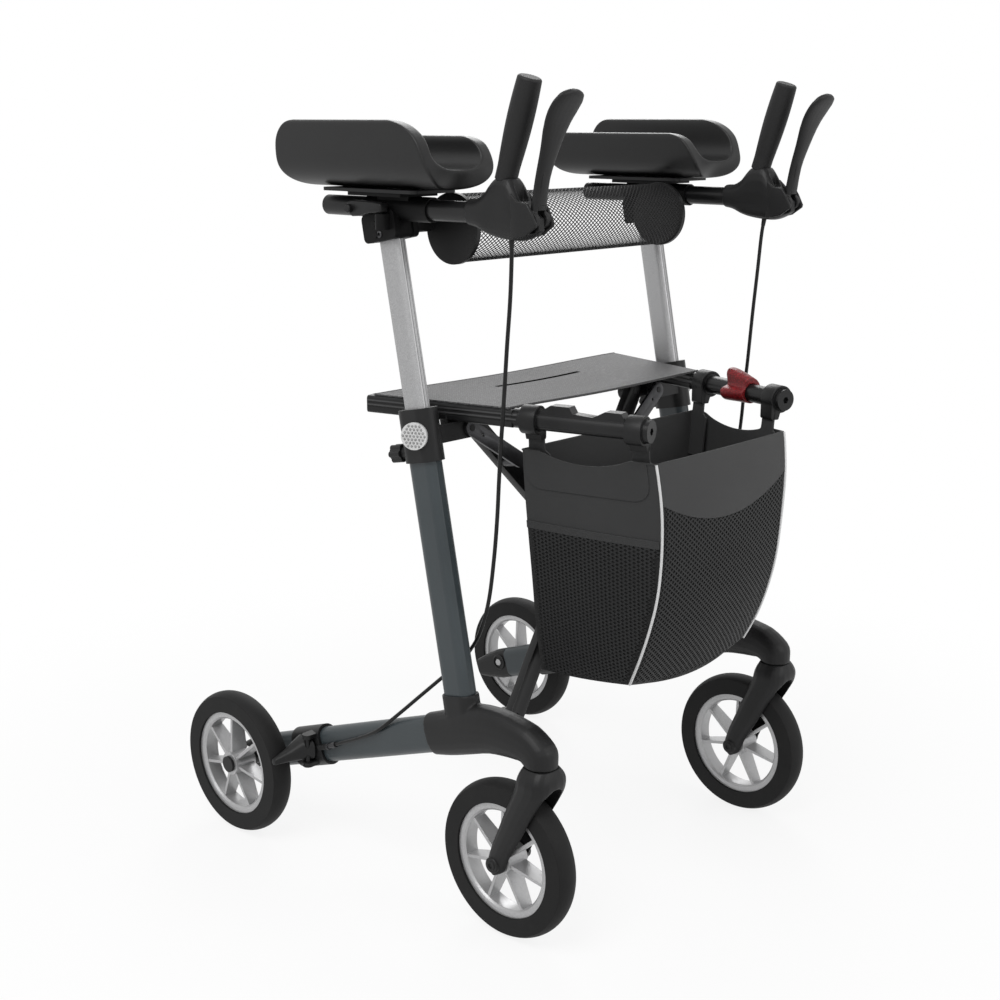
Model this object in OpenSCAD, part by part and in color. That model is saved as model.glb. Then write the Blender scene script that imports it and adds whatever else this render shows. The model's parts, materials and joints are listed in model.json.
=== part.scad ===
// Upright walker: two side frames on four wheels, joined by a folding cross brace, with a
// seat, a bag, height-adjustable columns, forearm pads and brake handles.
// Front is -Y, the user's left is +X, and the floor is z = 0.

/* [Wheels] */
// Diameter over a tyre
wheel_d = 200; // [190:1:206]
// Width of a tyre
tyre_w = 30; // [26:1:32]
// Diameter of the rim under the tyre
rim_d = 146; // [138:1:152]
// Radial height of the rim's ring
rim_h = 10; // [7:0.5:13]
// Spokes in a rim
spoke_count = 7; // [5:1:9]
// Diameter of a hub
hub_d = 32; // [26:1:38]
// Diameter of the axle bolts
axle_d = 10; // [8:0.5:12]
// From the middle plane to the middle of a rear wheel
rear_wheel_x = 292.5; // [288:0.5:300]
// Rear axle behind the middle of the part
rear_axle_y = 249; // [240:1:256]
// Caster stems in front of the middle of the part
stem_front = 275; // [268:1:280]
// Trail of a caster wheel behind its stem
caster_trail = 52; // [46:1:56]
// Diameter of a caster stem
stem_d = 12; // [10:0.5:14]

/* [Side frames] */
// From the middle plane to a side frame
frame_x = 246; // [242:1:250]
// Section of the upright tubes, front to back
upright_depth = 46; // [43:1:50]
// Section of the upright tubes, across
upright_width = 25; // [23:0.5:27]
// Section of the lower tubes, top to bottom
lower_depth = 48; // [44:1:52]
// Section of the lower tubes, across
lower_width = 25; // [23:0.5:27]
// Wall of the tubes
tube_wall = 2; // [1.5:0.1:2.3]
// Backward lean of the uprights, in degrees
upright_lean = 11.3; // [10:0.1:12.5]
// Rise of the lower tubes to the front, in degrees
lower_rise = 20; // [19:0.1:21]
// Upper edge of a casting's upright socket
foot_z = 290; // [286:1:296]
// Distance of that edge in front of the middle of the part
foot_front = 142; // [139:1:145]
// Length of an upright tube above its socket's edge
upright_len = 322; // [314:1:328]
// Height of the joint between a caster head and its fork
neck_z = 235; // [231:1:239]
// Diameter of a caster head
neck_d = 40; // [38:0.5:42]

/* [Columns] */
// Section of the inner tubes, front to back
inner_depth = 36; // [33:0.5:38]
// Section of the inner tubes, across
inner_width = 18; // [16:0.5:19]
// Height of a collar along the upright
collar_h = 64; // [56:1:70]
// Wall of a collar
collar_wall = 4; // [3:0.5:5]
// Height of the handle tubes
arm_z = 870; // [862:1:878]
// Diameter of the handle tubes
arm_d = 24; // [22:0.5:25]
// Length of a handle tube
arm_len = 264; // [252:1:272]
// Rear end of a handle tube behind the middle of the part
arm_rear = 78; // [72:1:84]
// Length of the sleeve that holds a handle tube
sleeve_len = 106; // [96:1:112]

/* [Pads] */
// Length of a forearm pad
pad_len = 275; // [260:1:285]
// Width of a forearm pad
pad_w = 116; // [108:1:124]
// Thickness of a pad's wall
pad_wall = 17; // [14:0.5:20]
// Thickness of a pad's floor
pad_floor = 23; // [18:0.5:26]
// Height of a pad at its outer wall
pad_h = 75; // [68:1:80]
// How much lower a pad's inner wall is
pad_step = 18; // [10:1:24]

/* [Handles] */
// Diameter of a hand grip
grip_d = 25; // [23:0.5:27]
// Length of a hand grip
grip_len = 114; // [104:1:120]
// Forward tilt of a hand grip, in degrees
grip_tilt = 18; // [15:0.5:20]
// Height of a brake lever above its pivot
lever_h = 135; // [120:1:142]
// Forward reach of a brake lever's tip
lever_reach = 51; // [46:1:56]

/* [Seat] */
// Height of the seat rails above the brace heads
rail_over_head = 22; // [21:0.5:24]
// From the middle plane to a rail's rear end
rail_rear_x = 229; // [226:0.5:231]
// Rear end of a rail behind the middle of the part
rail_rear = 27; // [24:1:30]
// Length of a rail
rail_len = 380; // [370:1:386]
// How far a rail turns in towards the front, in degrees
rail_toe = 14; // [13.5:0.1:14.5]
// Width of a rail's profile
rail_w = 23; // [21:0.5:24]
// Height of a rail's profile
rail_h = 21.5; // [20:0.5:22]
// Length of the seat cloth
seat_len = 186; // [176:1:190]
// Thickness of the seat cloth
seat_t = 2; // [1.5:0.1:3]

/* [Bag] */
// Height of the bag
bag_h = 287; // [264:1:294]
// Upper edge of the bag below the rails' middle
bag_drop = 39; // [36:1:46]
// Thickness of the bag's wall
bag_wall = 4; // [3:0.5:6]

/* [Folding brace] */
// From the middle plane to the foot of a brace
brace_foot_x = 168; // [164:1:172]
// From the middle plane to the head of a brace
brace_head_x = 152; // [148:1:156]
// Foot pivots below the sockets' edge, along the uprights
brace_foot_drop = 51; // [48:1:54]
// Width of a brace
brace_w = 24; // [20:1:26]
// Thickness of a brace
brace_t = 12; // [10:0.5:13]
// Diameter of the brace pins
brace_pin_d = 10; // [8:0.5:11]
// Length of a fold link between its pin and its end
link_len = 91; // [84:1:96]

/* [Back roll] */
// Diameter of the roll
roll_d = 84; // [80:1:90]
// From the middle plane to an end disc
roll_x = 195; // [190:1:198]
// Roll's middle below the handle tubes
roll_drop = 24; // [20:1:28]
// Roll's middle in front of the middle of the part
roll_front = 88; // [84:1:92]

/* [Brakes] */
// Diameter of a brake cable
cable_d = 4.4; // [3.6:0.2:5]

/* [Clearances] */
// Gap between moving neighbours
move_gap = 0.4; // [0.3:0.1:0.6]
// Radial clearance of pins and axles
pin_gap = 0.05; // [0.02:0.01:0.1]
// Gap on each side between a tube and its socket
seat_gap = 0.1; // [0.05:0.05:0.2]
// Gap on each side of a sliding tube
slide_gap = 0.3; // [0.2:0.1:0.5]

/* [Hidden] */
$fn = 48;
over = 1;
ring_n = 20;
ring_steps = 3;
// How far a ring is from an ellipse towards a box
round_power = 0.8;
box_power = 0.7;
sides = [["right", -1], ["left", 1]];

// Wheels
wheel_r = wheel_d / 2;
rim_r = rim_d / 2;
axle_r = axle_d / 2;
crown_h = 5;
rim_w = tyre_w - 6;
rim_lip = 2.5;
hub_gap = 1.5;
fork_in = tyre_w / 2 + 3;
leg_t = 11;
hub_w = 2 * (fork_in - hub_gap);
hub_cap_d = hub_d * 0.7;
hub_cap_depth = 4;
spoke_t = 4;
spoke_root_w = 26;
spoke_tip_w = 18;
spoke_sink = 2;
spoke_turn = 24;
stem_y = -stem_front;
caster_y = stem_y + caster_trail;

// Frames
foot_y = -foot_front;
upright_sink = 18;
groove_w = 7;
groove_depth = 1;
socket_wall = 3;
socket_rise = 1;
socket_sink = 40;
lower_start = 20;
lower_rim = 366;
lower_sink = 32;
rim_y = rear_axle_y - lower_rim * cos(lower_rise);
rim_z = wheel_r + lower_rim * sin(lower_rise);
casting_h = 60;
casting_arch = 34;
stem_len = 32;
// Casting from the lower tube to the caster head: way to the stem, rise, slope in degrees,
// half width in neck diameters, half height in casting heights
casting_shares = [
    [0, 0, 20, 0.41, 0.45],
    [0.15, 0.26, 18, 0.43, 0.48],
    [0.36, 0.71, 10, 0.47, 0.53],
    [0.58, 0.98, -2, 0.49, 0.49],
    [0.77, 1.00, -14, 0.5, 0.44],
    [0.91, 0.88, -35, 0.5, 0.40],
    [0.98, 0.64, -65, 0.5, 0.39],
];

// Rear end pieces
tip_len = 47;
tip_share = 0.6;
bolt_head_d = 17;
bolt_head_t = 6;
axle_boss_d = 26;

// Collars and knobs
collar_drop = 34;
collar_low = upright_len - collar_drop;
collar_depth = upright_depth + 2 * collar_wall;
collar_width = upright_width + 2 * collar_wall;
link_pin_x = 185;
link_pin_drop = 4;
link_pin_s = upright_len - link_pin_drop;
link_pin_d = 8;
link_lug_t = 8;
link_lug_w = 22;
link_layer = brace_t + 2 * move_gap + 1;
link_t = 4;
link_w = 20;
link_boss_d = 16;
link_angle = -34;
knob_rise = 12;
knob_d = 24;
knob_len = 18;
knob_lobes = 6;
knob_lobe_d = 8;
stud_d = 6;
stud_boss_d = 16;
stud_boss_len = 6;
reflector_d = 33;
reflector_t = 4;
reflector_turn = 25;
reflector_rise = 33;
reflector_out = 21;

// Columns
inner_reach = 182;
inner_low = upright_len - inner_reach;
inner_wall = 1.8;
block_depth = 56;
block_width = 38;
block_drop = 38.5;
block_low = (arm_z - foot_z) / cos(upright_lean) - block_drop;
block_h = 34;
block_r = 7;
cheek_t = 8;
core_cut = 6;
inner_sink = 14;
inner_high = block_low + inner_sink;
sleeve_wall = 2.5;
sleeve_d = arm_d + 2 * sleeve_wall;
sleeve_rear = 2;
carrier_w = 60;
carrier_len = 90;
carrier_t = 4;
carrier_z = arm_z + sleeve_d / 2;
carrier_post_w = 22;
carrier_post_len = 52;
pivot_front = 35;
pivot_d = 10;
plate_w = 70;
plate_len = 160;
plate_rear = 52;
plate_t = 4;
plate_z = carrier_z + carrier_t + move_gap;
pad_z = plate_z + plate_t;
pad_rear_share = 0.41;
pad_rear = pad_len * pad_rear_share;
pad_turn_share = 0.63;
pad_nose = 7;
// How a pad's rounded end draws in: along the pad and across its wall
nose_shares = [[1, 0.8], [0.5, 0.3], [0, 0]];
pad_power = 0.75;
pad_wall_steps = 3;
pad_turn_steps = 14;
// How an end of a pad is swept back towards the tops of its walls: lean of the floor's edge,
// sweep of the outer wall and of the inner wall in pad lengths, then their heights in pad heights
pad_front_shares = [0.07, 0.22, 0.15, 0.53, 0.33];
pad_rear_shares = [0.012, 0.11, 0.11, 0.4, 0.4];
quick_out = 27;
quick_front = 44;
quick_d = 14;
quick_h = 13;
quick_len = 55;
quick_t = 9;
quick_pin_d = 5;
quick_boss_h = 18;
quick_drop = 5;
quick_z = arm_z - quick_drop;
screw_d = 7;
screw_t = 2;
screw_front = 6;
screw_rise = 8;
screw_step = 13;

// Handles
arm_front = arm_len - arm_rear;
housing_lap = 18;
housing_len = 102;
housing_rear = arm_front - housing_lap;
housing_low = 28;
housing_h = 70;
housing_w = 34;
// Brake housing from the tube to the nose: way along, low edge, high edge, half width
housing_shares = [
    [0, 0.20, 0.63, 0.46],
    [0.12, 0.17, 0.64, 0.485],
    [0.25, 0.09, 0.74, 0.5],
    [0.37, 0.04, 0.94, 0.5],
    [0.45, 0.02, 1, 0.5],
    [0.61, 0, 0.98, 0.5],
    [0.71, 0, 0.78, 0.485],
    [0.80, 0.02, 0.57, 0.45],
    [0.91, 0.09, 0.47, 0.39],
    [1, 0.17, 0.36, 0.30],
];
notch_w = 15;
notch_h = 21;
notch_rise = 15;
notch_share = 0.335;
grip_out = 31;
grip_front = arm_front + grip_out;
grip_rise = 37;
grip_swell = 0.19;
grip_turn = 150;
grip_seat_share = 0.14;
grip_steps = 14;
lever_out = 78;
lever_front = arm_front + lever_out;
lever_drop = 4;
lever_knuckle_d = 18;
lever_knuckle_w = 24;
lever_tongue_w = 10;
lever_pin_d = 6;
lever_cut_d = 28;
lever_slot_d = 32;
lever_w = 45;
lever_t = 11;
// Brake lever from the pivot to the tip: reach, rise, slope in degrees, half width, half thickness
lever_shares = [
    [0, 0, 88, 0.25, 0.5],
    [0.02, 0.15, 87, 0.23, 0.5],
    [0.06, 0.32, 83, 0.23, 0.46],
    [0.23, 0.54, 74, 0.30, 0.46],
    [0.48, 0.76, 66, 0.44, 0.46],
    [0.69, 0.87, 62, 0.5, 0.44],
    [0.87, 0.945, 59, 0.45, 0.42],
    [0.96, 0.983, 56, 0.33, 0.36],
    [1, 1, 55, 0.16, 0.24],
];

// Brakes
bracket_rear = 90;
bracket_len = 60;
bracket_wall = 4;
barrel_d = 8;
barrel_len = 16;
barrel_out = 4.5;
shoe_pin_d = 6;
shoe_pin_along = 125;
shoe_pin_out = 25;
shoe_gap = 2.5;
shoe_lead = 12;
shoe_h = 34;
shoe_ear_t = 6;
shoe_ear_d = 14;
shoe_reach = 47;
shoe_back = 43;
shoe_fall = 12;
shoe_depth = 44;
// Brake shoe from the bracket to the tyre's far shoulder: out, back, fall, half depth, half height
shoe_shares = [
    [0, 0.51, 0, 0.45, 0.5],
    [0.26, 0.60, 0.2, 0.30, 0.40],
    [0.6, 0.70, 0.6, 0.19, 0.24],
    [1, 0.81, 1, 0.09, 0.13],
];

// Rails and seat
rail_rear_y = rail_rear;
brace_head_rise = upright_len;
rail_z = foot_z + brace_head_rise * cos(upright_lean) + rail_over_head;
rail_r = 4;
bar_len = rail_len * 0.54;
front_d = 23.5;
ring_d = 28;
ring_len = 21;
ring_shares = [0.569, 0.926];
ring_places = [for (f = ring_shares) rail_len * f];
cap_d = 27;
cap_len = 14;
cap_socket_d = 9;
cap_socket_depth = 5;
catch_start = ring_places[0] + ring_len;
catch_len = ring_places[1] - catch_start;
catch_rise = 13;
catch_w = 15.4;
catch_low_share = 0.3;
// Side of the catch along the rail: way, rise
catch_shares = [
    [0.02, 0.3], [0.15, 1], [0.36, 1], [0.40, 0.42], [0.63, 0.3], [0.76, 0.9], [0.94, 0.9], [0.98, 0.3],
];
lock_at = rail_len * 0.71;
lock_len = 27;
lock_d = 34;
lock_ear = 9;
lock_ear_root = 3;
lock_ear_inset = 2;
lock_ear_t = 8;
lock_ear_turns = [65, 170];
seat_rear = 17;
seat_out = 8;
lug_r = brace_w / 2;
foot_lug_t = brace_t;
head_lug_h = 20;

// Bag
bag_top = rail_z - bag_drop;
bag_rear_front = 176;
bag_inset = 6;
bag_front_r = 12;
bag_rear_r = 8;
bag_over = 9.2;
bag_front_len = (ring_places[1] + ring_len) * cos(rail_toe) - rail_rear + bag_over - bag_rear_front;
bag_corner_steps = 4;
// Bag from the bottom up: height, front length, half width at the front and at the rear
bag_shares = [
    [0, 0.75, 0.885, 0.785],
    [0.05, 0.80, 0.905, 0.805],
    [0.12, 0.86, 0.92, 0.828],
    [0.21, 0.92, 0.928, 0.85],
    [0.30, 0.965, 0.935, 0.868],
    [0.44, 1.02, 0.938, 0.895],
    [0.62, 1.042, 0.945, 0.935],
    [0.80, 1.045, 0.97, 0.972],
    [0.92, 1.025, 0.99, 0.99],
    [1, 1, 1, 1],
];
strap_w = 18;
strap_t = 2.5;
strap_places = [for (z = ring_places) z + ring_len / 2];
strap_sink = 16;
strap_in_share = 0.6;

// Back roll
roll_z = arm_z - roll_drop;
net_wall = 1.5;
disc_t = 6;
disc_lip = 2;
roll_arm_d = 14;
roll_arm_front = 50;
roll_arm_drop = 22;

// Route of the left brake cable from the housing to the brake bracket
cable_route = [
    [246, -226, 842], [244, -224, 820], [243, -221, 776], [243, -216, 720], [243, -211, 655],
    [243, -207, 610], [243, -204, 568], [241, -199, 519], [237, -190, 468], [231, -176, 414],
    [226, -158, 371], [224, -140, 343], [226, -118, 316], [233, -95, 294], [245, -68, 266],
    [256, -36, 234], [263, -7, 208], [264, 26, 189], [264, 55, 175], [263, 86, 160],
    [263, 92, 157],
];
cable_sides = 8;
cable_steps = 3;
cable_lay = [0, 1, 0.37];

FRAME_NODES = ["front_casting", "lower_tube", "upright_tube", "height_collar", "reflector",
    "height_knob", "rear_end", "brake_bracket", "brake_shoe", "brake_cable"];
COLUMN_NODES = ["inner_tube", "top_block", "clamp_lever", "pad_plate", "arm_pad", "handle_tube",
    "brake_housing", "hand_grip", "brake_lever", "roll_disc"];
WHEEL_NODES = ["rear_rim", "rear_tyre", "caster_fork", "caster_rim", "caster_tyre"];
FOLD_NODES = ["cross_brace", "fold_link", "seat_rail"];
PAIRED = concat(FRAME_NODES, COLUMN_NODES, WHEEL_NODES, FOLD_NODES);

// Shared shapes

// Points round an oval of half sizes a and b, squarer as the power falls below 1
function oval(a, b, count, power) = [
    for (k = [0 : count - 1])
        let (c = cos(360 * k / count), s = sin(360 * k / count))
            [a * sign(c) * pow(abs(c), power), b * sign(s) * pow(abs(s), power)]
];

// An oval square to a way that runs forward at a slope in degrees
function ring_at(c, slope, a, b, power = round_power) = [
    for (q = oval(a, b, ring_n, power)) [c[0] + q[0], c[1] + q[1] * sin(slope), c[2] + q[1] * cos(slope)]
];

// A closed skin over rings of equal count, each turning left about the way from first to last
module skin(rings) {
    n = len(rings[0]);
    m = len(rings);
    walls = [
        for (i = [0 : m - 2]) for (j = [0 : n - 1])
            let (a = i * n + j, b = i * n + (j + 1) % n)
                each [[a, a + n, b + n], [a, b + n, b]]
    ];
    first = [for (j = [0 : n - 1]) j];
    last = [for (j = [n - 1 : -1 : 0]) (m - 1) * n + j];
    polyhedron([for (r = rings) each r], concat(walls, [first, last]), convexity = 6);
}

function centre(ring) = [for (p = ring) 1 / len(ring)] * ring;

// How the rings change for each millimetre of their way, at ring i
function ring_slope(rings, i) =
    let (
        last = len(rings) - 1, a = rings[max(0, i - 1)], b = rings[i], c = rings[min(last, i + 1)],
        before = norm(centre(b) - centre(a)), after = norm(centre(c) - centre(b))
    )
    i == 0 ? (c - b) / after : i == last ? (b - a) / before :
        ((c - b) * before / after + (b - a) * after / before) / (before + after);

// More rings between the given ones, on smooth ways
function finer(rings, steps = ring_steps) = [
    for (i = [0 : len(rings) - 2])
        let (
            a = rings[i], b = rings[i + 1], way = norm(centre(b) - centre(a)),
            out = ring_slope(rings, i) * way, in = ring_slope(rings, i + 1) * way
        )
        for (k = [0 : (i == len(rings) - 2 ? steps : steps - 1)])
            let (t = k / steps, step = b - a)
            a + t * (out + t * (3 * step - 2 * out - in + t * (out + in - 2 * step)))
];

// A slot shape with round ends, its depth along y
module stadium(depth, width) {
    square([width, depth - width], center = true);
    for (e = [-1, 1]) translate([0, e * (depth - width) / 2]) circle(d = width);
}

// A rectangle with round corners
module round_rect(w, h, r) {
    square([w - 2 * r, h], center = true);
    square([w, h - 2 * r], center = true);
    for (i = [-1, 1], j = [-1, 1]) translate([i * (w / 2 - r), j * (h / 2 - r)]) circle(r);
}

// A round bar along x
module bar_x(d, from, to) {
    translate([from, 0, 0]) rotate([0, 90, 0]) cylinder(d = d, h = to - from);
}

// A round bar that runs forward from one place to another
module bar_front(d, from, to) {
    translate([0, -from, 0]) rotate([90, 0, 0]) cylinder(d = d, h = to - from);
}

module on_side(s) {
    if (s < 0) mirror([1, 0, 0]) children();
    else children();
}

// Origin on a side's upright axis at its socket's edge, z along the upright, y to the back
module upright_frame() {
    translate([frame_x, foot_y, foot_z]) rotate([-upright_lean, 0, 0]) children();
}

// Origin at a side's rear axle, z along the lower tube to the front, y square to it and up
module lower_frame() {
    translate([frame_x, rear_axle_y, wheel_r]) rotate([90 - lower_rise, 0, 0]) children();
}

// Origin in the middle, x across, y along the uprights, z to the front
module brace_frame() {
    translate([0, foot_y, foot_z]) rotate([90 - upright_lean, 0, 0]) children();
}

// Origin at a rail's rear end, z along the rail to the front, y up
module rail_frame() {
    translate([rail_rear_x, rail_rear_y, rail_z]) rotate([0, 0, -rail_toe]) rotate([90, 0, 0]) children();
}

// A rail's distance from the middle plane at a place along y
function rail_x(y) = rail_rear_x - (rail_rear_y - y) * tan(rail_toe);

// Wheels

// Wheel shapes stand on their axle along z
module tyre_shape() {
    edge = wheel_r - crown_h;
    crown_r = (pow(tyre_w / 2, 2) + pow(crown_h, 2)) / (2 * crown_h);
    rotate_extrude() {
        translate([rim_r, -tyre_w / 2]) square([edge - rim_r, tyre_w]);
        intersection() {
            translate([edge - over, -tyre_w / 2]) square([crown_h + over, tyre_w]);
            translate([wheel_r - crown_r, 0]) circle(crown_r);
        }
    }
}

// A thin blade, deeper along the axle at the hub than at the rim
module spoke_shape() {
    from = hub_d / 2 - spoke_sink;
    to = rim_r - rim_h + spoke_sink;
    rotate([90, 0, 0]) linear_extrude(spoke_t, center = true) polygon([
        [from, -spoke_root_w / 2], [to, -spoke_tip_w / 2], [to, spoke_tip_w / 2], [from, spoke_root_w / 2]
    ]);
}

module rim_shape() {
    ring_in = rim_r - rim_h;
    difference() {
        union() {
            rotate_extrude() polygon([
                [ring_in, -rim_w / 2 + rim_lip], [ring_in + rim_lip, -rim_w / 2],
                [rim_r - seat_gap, -rim_w / 2],
                [rim_r - seat_gap, rim_w / 2], [ring_in + rim_lip, rim_w / 2], [ring_in, rim_w / 2 - rim_lip]
            ]);
            cylinder(d = hub_d, h = hub_w, center = true);
            for (k = [0 : spoke_count - 1]) rotate(spoke_turn + 360 * k / spoke_count) spoke_shape();
        }
        cylinder(r = axle_r + pin_gap, h = hub_w + over, center = true);
    }
}

module at_rear_wheel() {
    translate([rear_wheel_x, rear_axle_y, wheel_r]) rotate([0, 90, 0]) children();
}

module at_caster_wheel() {
    translate([frame_x, caster_y, wheel_r]) rotate([0, 90, 0]) children();
}

module rear_tyre() color("#262626") at_rear_wheel() tyre_shape();

module rear_rim() color("silver") at_rear_wheel() rim_shape();

module caster_tyre() color("#262626") at_caster_wheel() tyre_shape();

module caster_rim() color("silver") at_caster_wheel() rim_shape();

// Fork from the neck down to the axle: fall, back, half width, half depth
fork_tip = 14;
fork_low = wheel_r - fork_tip;
fork_high = neck_z - move_gap;
fork_half = fork_in + leg_t;
fork_depth = 46;
arch_gap = 12;
fork_shares = [
    [0, 0, 0.66, 0.42],
    [0.04, 0, 0.84, 0.48],
    [0.09, 0, 0.98, 0.53],
    [0.17, 0.03, 1, 0.55],
    [0.28, 0.17, 1, 0.54],
    [0.43, 0.39, 1, 0.50],
    [0.60, 0.62, 1, 0.46],
    [0.80, 0.90, 1, 0.39],
    [0.906, 1, 1, 0.34],
    [0.955, 1, 1, 0.27],
    [0.985, 1, 1, 0.17],
    [1, 1, 0.97, 0.06],
];

module caster_fork() {
    fall = fork_high - fork_low;
    rings = [
        for (f = fork_shares) ring_at(
            [frame_x, stem_y + f[1] * caster_trail, fork_high - f[0] * fall],
            -90, f[2] * fork_half, f[3] * fork_depth, box_power
        )
    ];
    color("#333333") {
        difference() {
            skin(finer(rings));
            translate([frame_x, 0, wheel_d + arch_gap - fork_in]) {
                bar_front(2 * fork_in, -caster_y - fork_depth, fork_depth - stem_y);
                translate([-fork_in, stem_y - fork_depth, -wheel_d])
                    cube([2 * fork_in, 2 * fork_depth + caster_trail, wheel_d]);
            }
            translate([frame_x, caster_y, wheel_r])
                bar_x(axle_d + 2 * seat_gap, -fork_half - over, fork_half + over);
        }
        translate([frame_x, stem_y, fork_high]) cylinder(d = stem_d, h = stem_len);
    }
    color("dimgray") translate([frame_x, caster_y, wheel_r]) {
        bar_x(axle_d, -fork_half, fork_half);
        for (e = [-1, 1]) scale([e, 1, 1]) bar_x(bolt_head_d, fork_half, fork_half + screw_t);
    }
}

// Side frames

function casting_rings() = concat(
    [
        for (f = casting_shares) ring_at(
            [frame_x, rim_y + f[0] * (stem_y - rim_y), rim_z + f[1] * casting_arch],
            f[2], f[3] * neck_d, f[4] * casting_h
        )
    ],
    [ring_at([frame_x, stem_y, neck_z], -90, neck_d / 2, neck_d / 2, 1)]
);

// A lug that carries a brace's foot, behind the right brace and in front of the left one
module foot_lug(s) {
    reach = frame_x - brace_foot_x;
    translate([brace_foot_x, -brace_foot_drop, s > 0 ? 0 : -foot_lug_t]) linear_extrude(foot_lug_t) {
        circle(lug_r);
        translate([0, -lug_r]) square([reach, brace_w]);
    }
    translate([brace_foot_x, -brace_foot_drop, s > 0 ? -brace_t - move_gap : 0])
        cylinder(d = brace_pin_d, h = brace_t + move_gap);
}

module front_casting(s) {
    color("#333333") difference() {
        union() {
            skin(finer(casting_rings()));
            upright_frame() translate([0, 0, -socket_sink]) linear_extrude(socket_sink + socket_rise)
                stadium(upright_depth + 2 * socket_wall, upright_width + 2 * socket_wall);
            brace_frame() foot_lug(s);
        }
        upright_frame() translate([0, 0, -upright_sink]) linear_extrude(upright_sink + socket_rise + over)
            stadium(upright_depth + 2 * seat_gap, upright_width + 2 * seat_gap);
        lower_frame() translate([0, 0, lower_rim - over]) linear_extrude(lower_sink + over)
            stadium(lower_depth + 2 * seat_gap, lower_width + 2 * seat_gap);
        translate([frame_x, stem_y, neck_z - over]) cylinder(d = stem_d + 2 * pin_gap, h = stem_len + over);
    }
}

// A hollow tube of slot section, with a groove along its front where it has one
module slot_tube(depth, width, wall, length, groove = 0) {
    linear_extrude(length) difference() {
        stadium(depth, width);
        stadium(depth - 2 * wall, width - 2 * wall);
        if (groove > 0) translate([0, -depth / 2]) square([groove, 2 * groove_depth], center = true);
    }
}

module lower_tube() {
    length = lower_rim + lower_sink - seat_gap - lower_start;
    color("#474d50") lower_frame() translate([0, 0, lower_start])
        slot_tube(lower_depth, lower_width, tube_wall, length);
}

module upright_tube() {
    sink = upright_sink - seat_gap;
    color("#474d50") upright_frame() translate([0, 0, -sink])
        slot_tube(upright_depth, upright_width, tube_wall, upright_len + sink, groove_w);
}

module link_lug() {
    from = frame_x - link_pin_x;
    translate([0, -link_layer, 0]) rotate([90, 0, 0]) {
        linear_extrude(link_lug_t) translate([-from, link_pin_s]) {
            circle(d = link_lug_w);
            translate([0, -link_lug_w / 2]) square([from, link_lug_w]);
        }
        translate([-from, link_pin_s, 0]) cylinder(d = link_pin_d, h = link_lug_t + link_t + 2 * move_gap);
    }
}

module at_reflector() {
    translate([0, 0, collar_low + reflector_rise])
        rotate([0, 0, -reflector_turn]) rotate([0, 90, 0]) children();
}

module height_collar() {
    color("#303030") upright_frame() difference() {
        union() {
            translate([0, 0, collar_low]) linear_extrude(collar_h) stadium(collar_depth, collar_width);
            link_lug();
            at_reflector() cylinder(d = reflector_d, h = reflector_out);
            translate([0, collar_depth / 2 - collar_wall, collar_low + knob_rise]) rotate([-90, 0, 0])
                cylinder(d = stud_boss_d, h = stud_boss_len + collar_wall);
        }
        translate([0, 0, collar_low - over]) linear_extrude(upright_len - collar_low + over + seat_gap)
            stadium(upright_depth + 2 * seat_gap, upright_width + 2 * seat_gap);
        translate([0, 0, collar_low - over]) linear_extrude(collar_h + 2 * over)
            stadium(inner_depth + 2 * slide_gap, inner_width + 2 * slide_gap);
        translate([0, upright_depth / 2, collar_low + knob_rise]) rotate([-90, 0, 0])
            cylinder(d = stud_d + 2 * pin_gap, h = stud_boss_len + 2 * collar_wall);
    }
}

module reflector() {
    color("#9a9a9a") upright_frame() at_reflector() translate([0, 0, reflector_out])
        cylinder(d = reflector_d, h = reflector_t);
}

module height_knob() {
    seat = collar_depth / 2 + stud_boss_len;
    color("#262626") upright_frame()
    translate([0, seat + move_gap, collar_low + knob_rise]) rotate([-90, 0, 0]) {
        cylinder(d = knob_d - knob_lobe_d / 2, h = knob_len);
        for (k = [0 : knob_lobes - 1]) rotate(360 * k / knob_lobes)
            translate([(knob_d - knob_lobe_d) / 2, 0, 0]) cylinder(d = knob_lobe_d, h = knob_len);
        translate([0, 0, -stud_boss_len - move_gap]) cylinder(d = stud_d, h = stud_boss_len + knob_len);
    }
}

module rear_end() {
    inner_face = -lower_width / 2;
    ends = [
        [lower_start, 1], [0, 1], [-tip_len * tip_share, (1 + tip_share) / 2], [-tip_len, tip_share]
    ];
    rings = [
        for (e = ends)
            [for (q = oval(lower_width / 2, e[1] * lower_depth / 2, ring_n, tip_share)) [q[0], q[1], e[0]]]
    ];
    color("#303030") difference() {
        union() {
            lower_frame() skin([for (i = [len(rings) - 1 : -1 : 0]) rings[i]]);
            translate([frame_x, rear_axle_y, wheel_r])
                bar_x(axle_boss_d, 0, rear_wheel_x - frame_x - hub_w / 2 - move_gap);
        }
        translate([frame_x, rear_axle_y, wheel_r]) {
            bar_x(axle_d + 2 * seat_gap, inner_face - over, rear_wheel_x - frame_x);
            bar_x(bolt_head_d + 2 * seat_gap, inner_face - over, inner_face + bolt_head_t + seat_gap);
        }
    }
    color("silver") translate([frame_x, rear_axle_y, wheel_r]) {
        bar_x(axle_d, inner_face, rear_wheel_x - frame_x + hub_w / 2);
        bar_x(bolt_head_d, inner_face, inner_face + bolt_head_t);
        translate([rear_wheel_x - frame_x + hub_w / 2, 0, 0]) bar_x(hub_cap_d, move_gap, hub_cap_depth);
        translate([rear_wheel_x - frame_x + hub_w / 2, 0, 0]) bar_x(axle_d, -over, hub_cap_depth);
    }
}

// Brakes

module bracket_ear(z) {
    translate([shoe_pin_out, 0, z]) cylinder(d = shoe_ear_d, h = shoe_ear_t);
    translate([0, -shoe_ear_d / 2, z]) cube([shoe_pin_out, shoe_ear_d, shoe_ear_t]);
}

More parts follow.
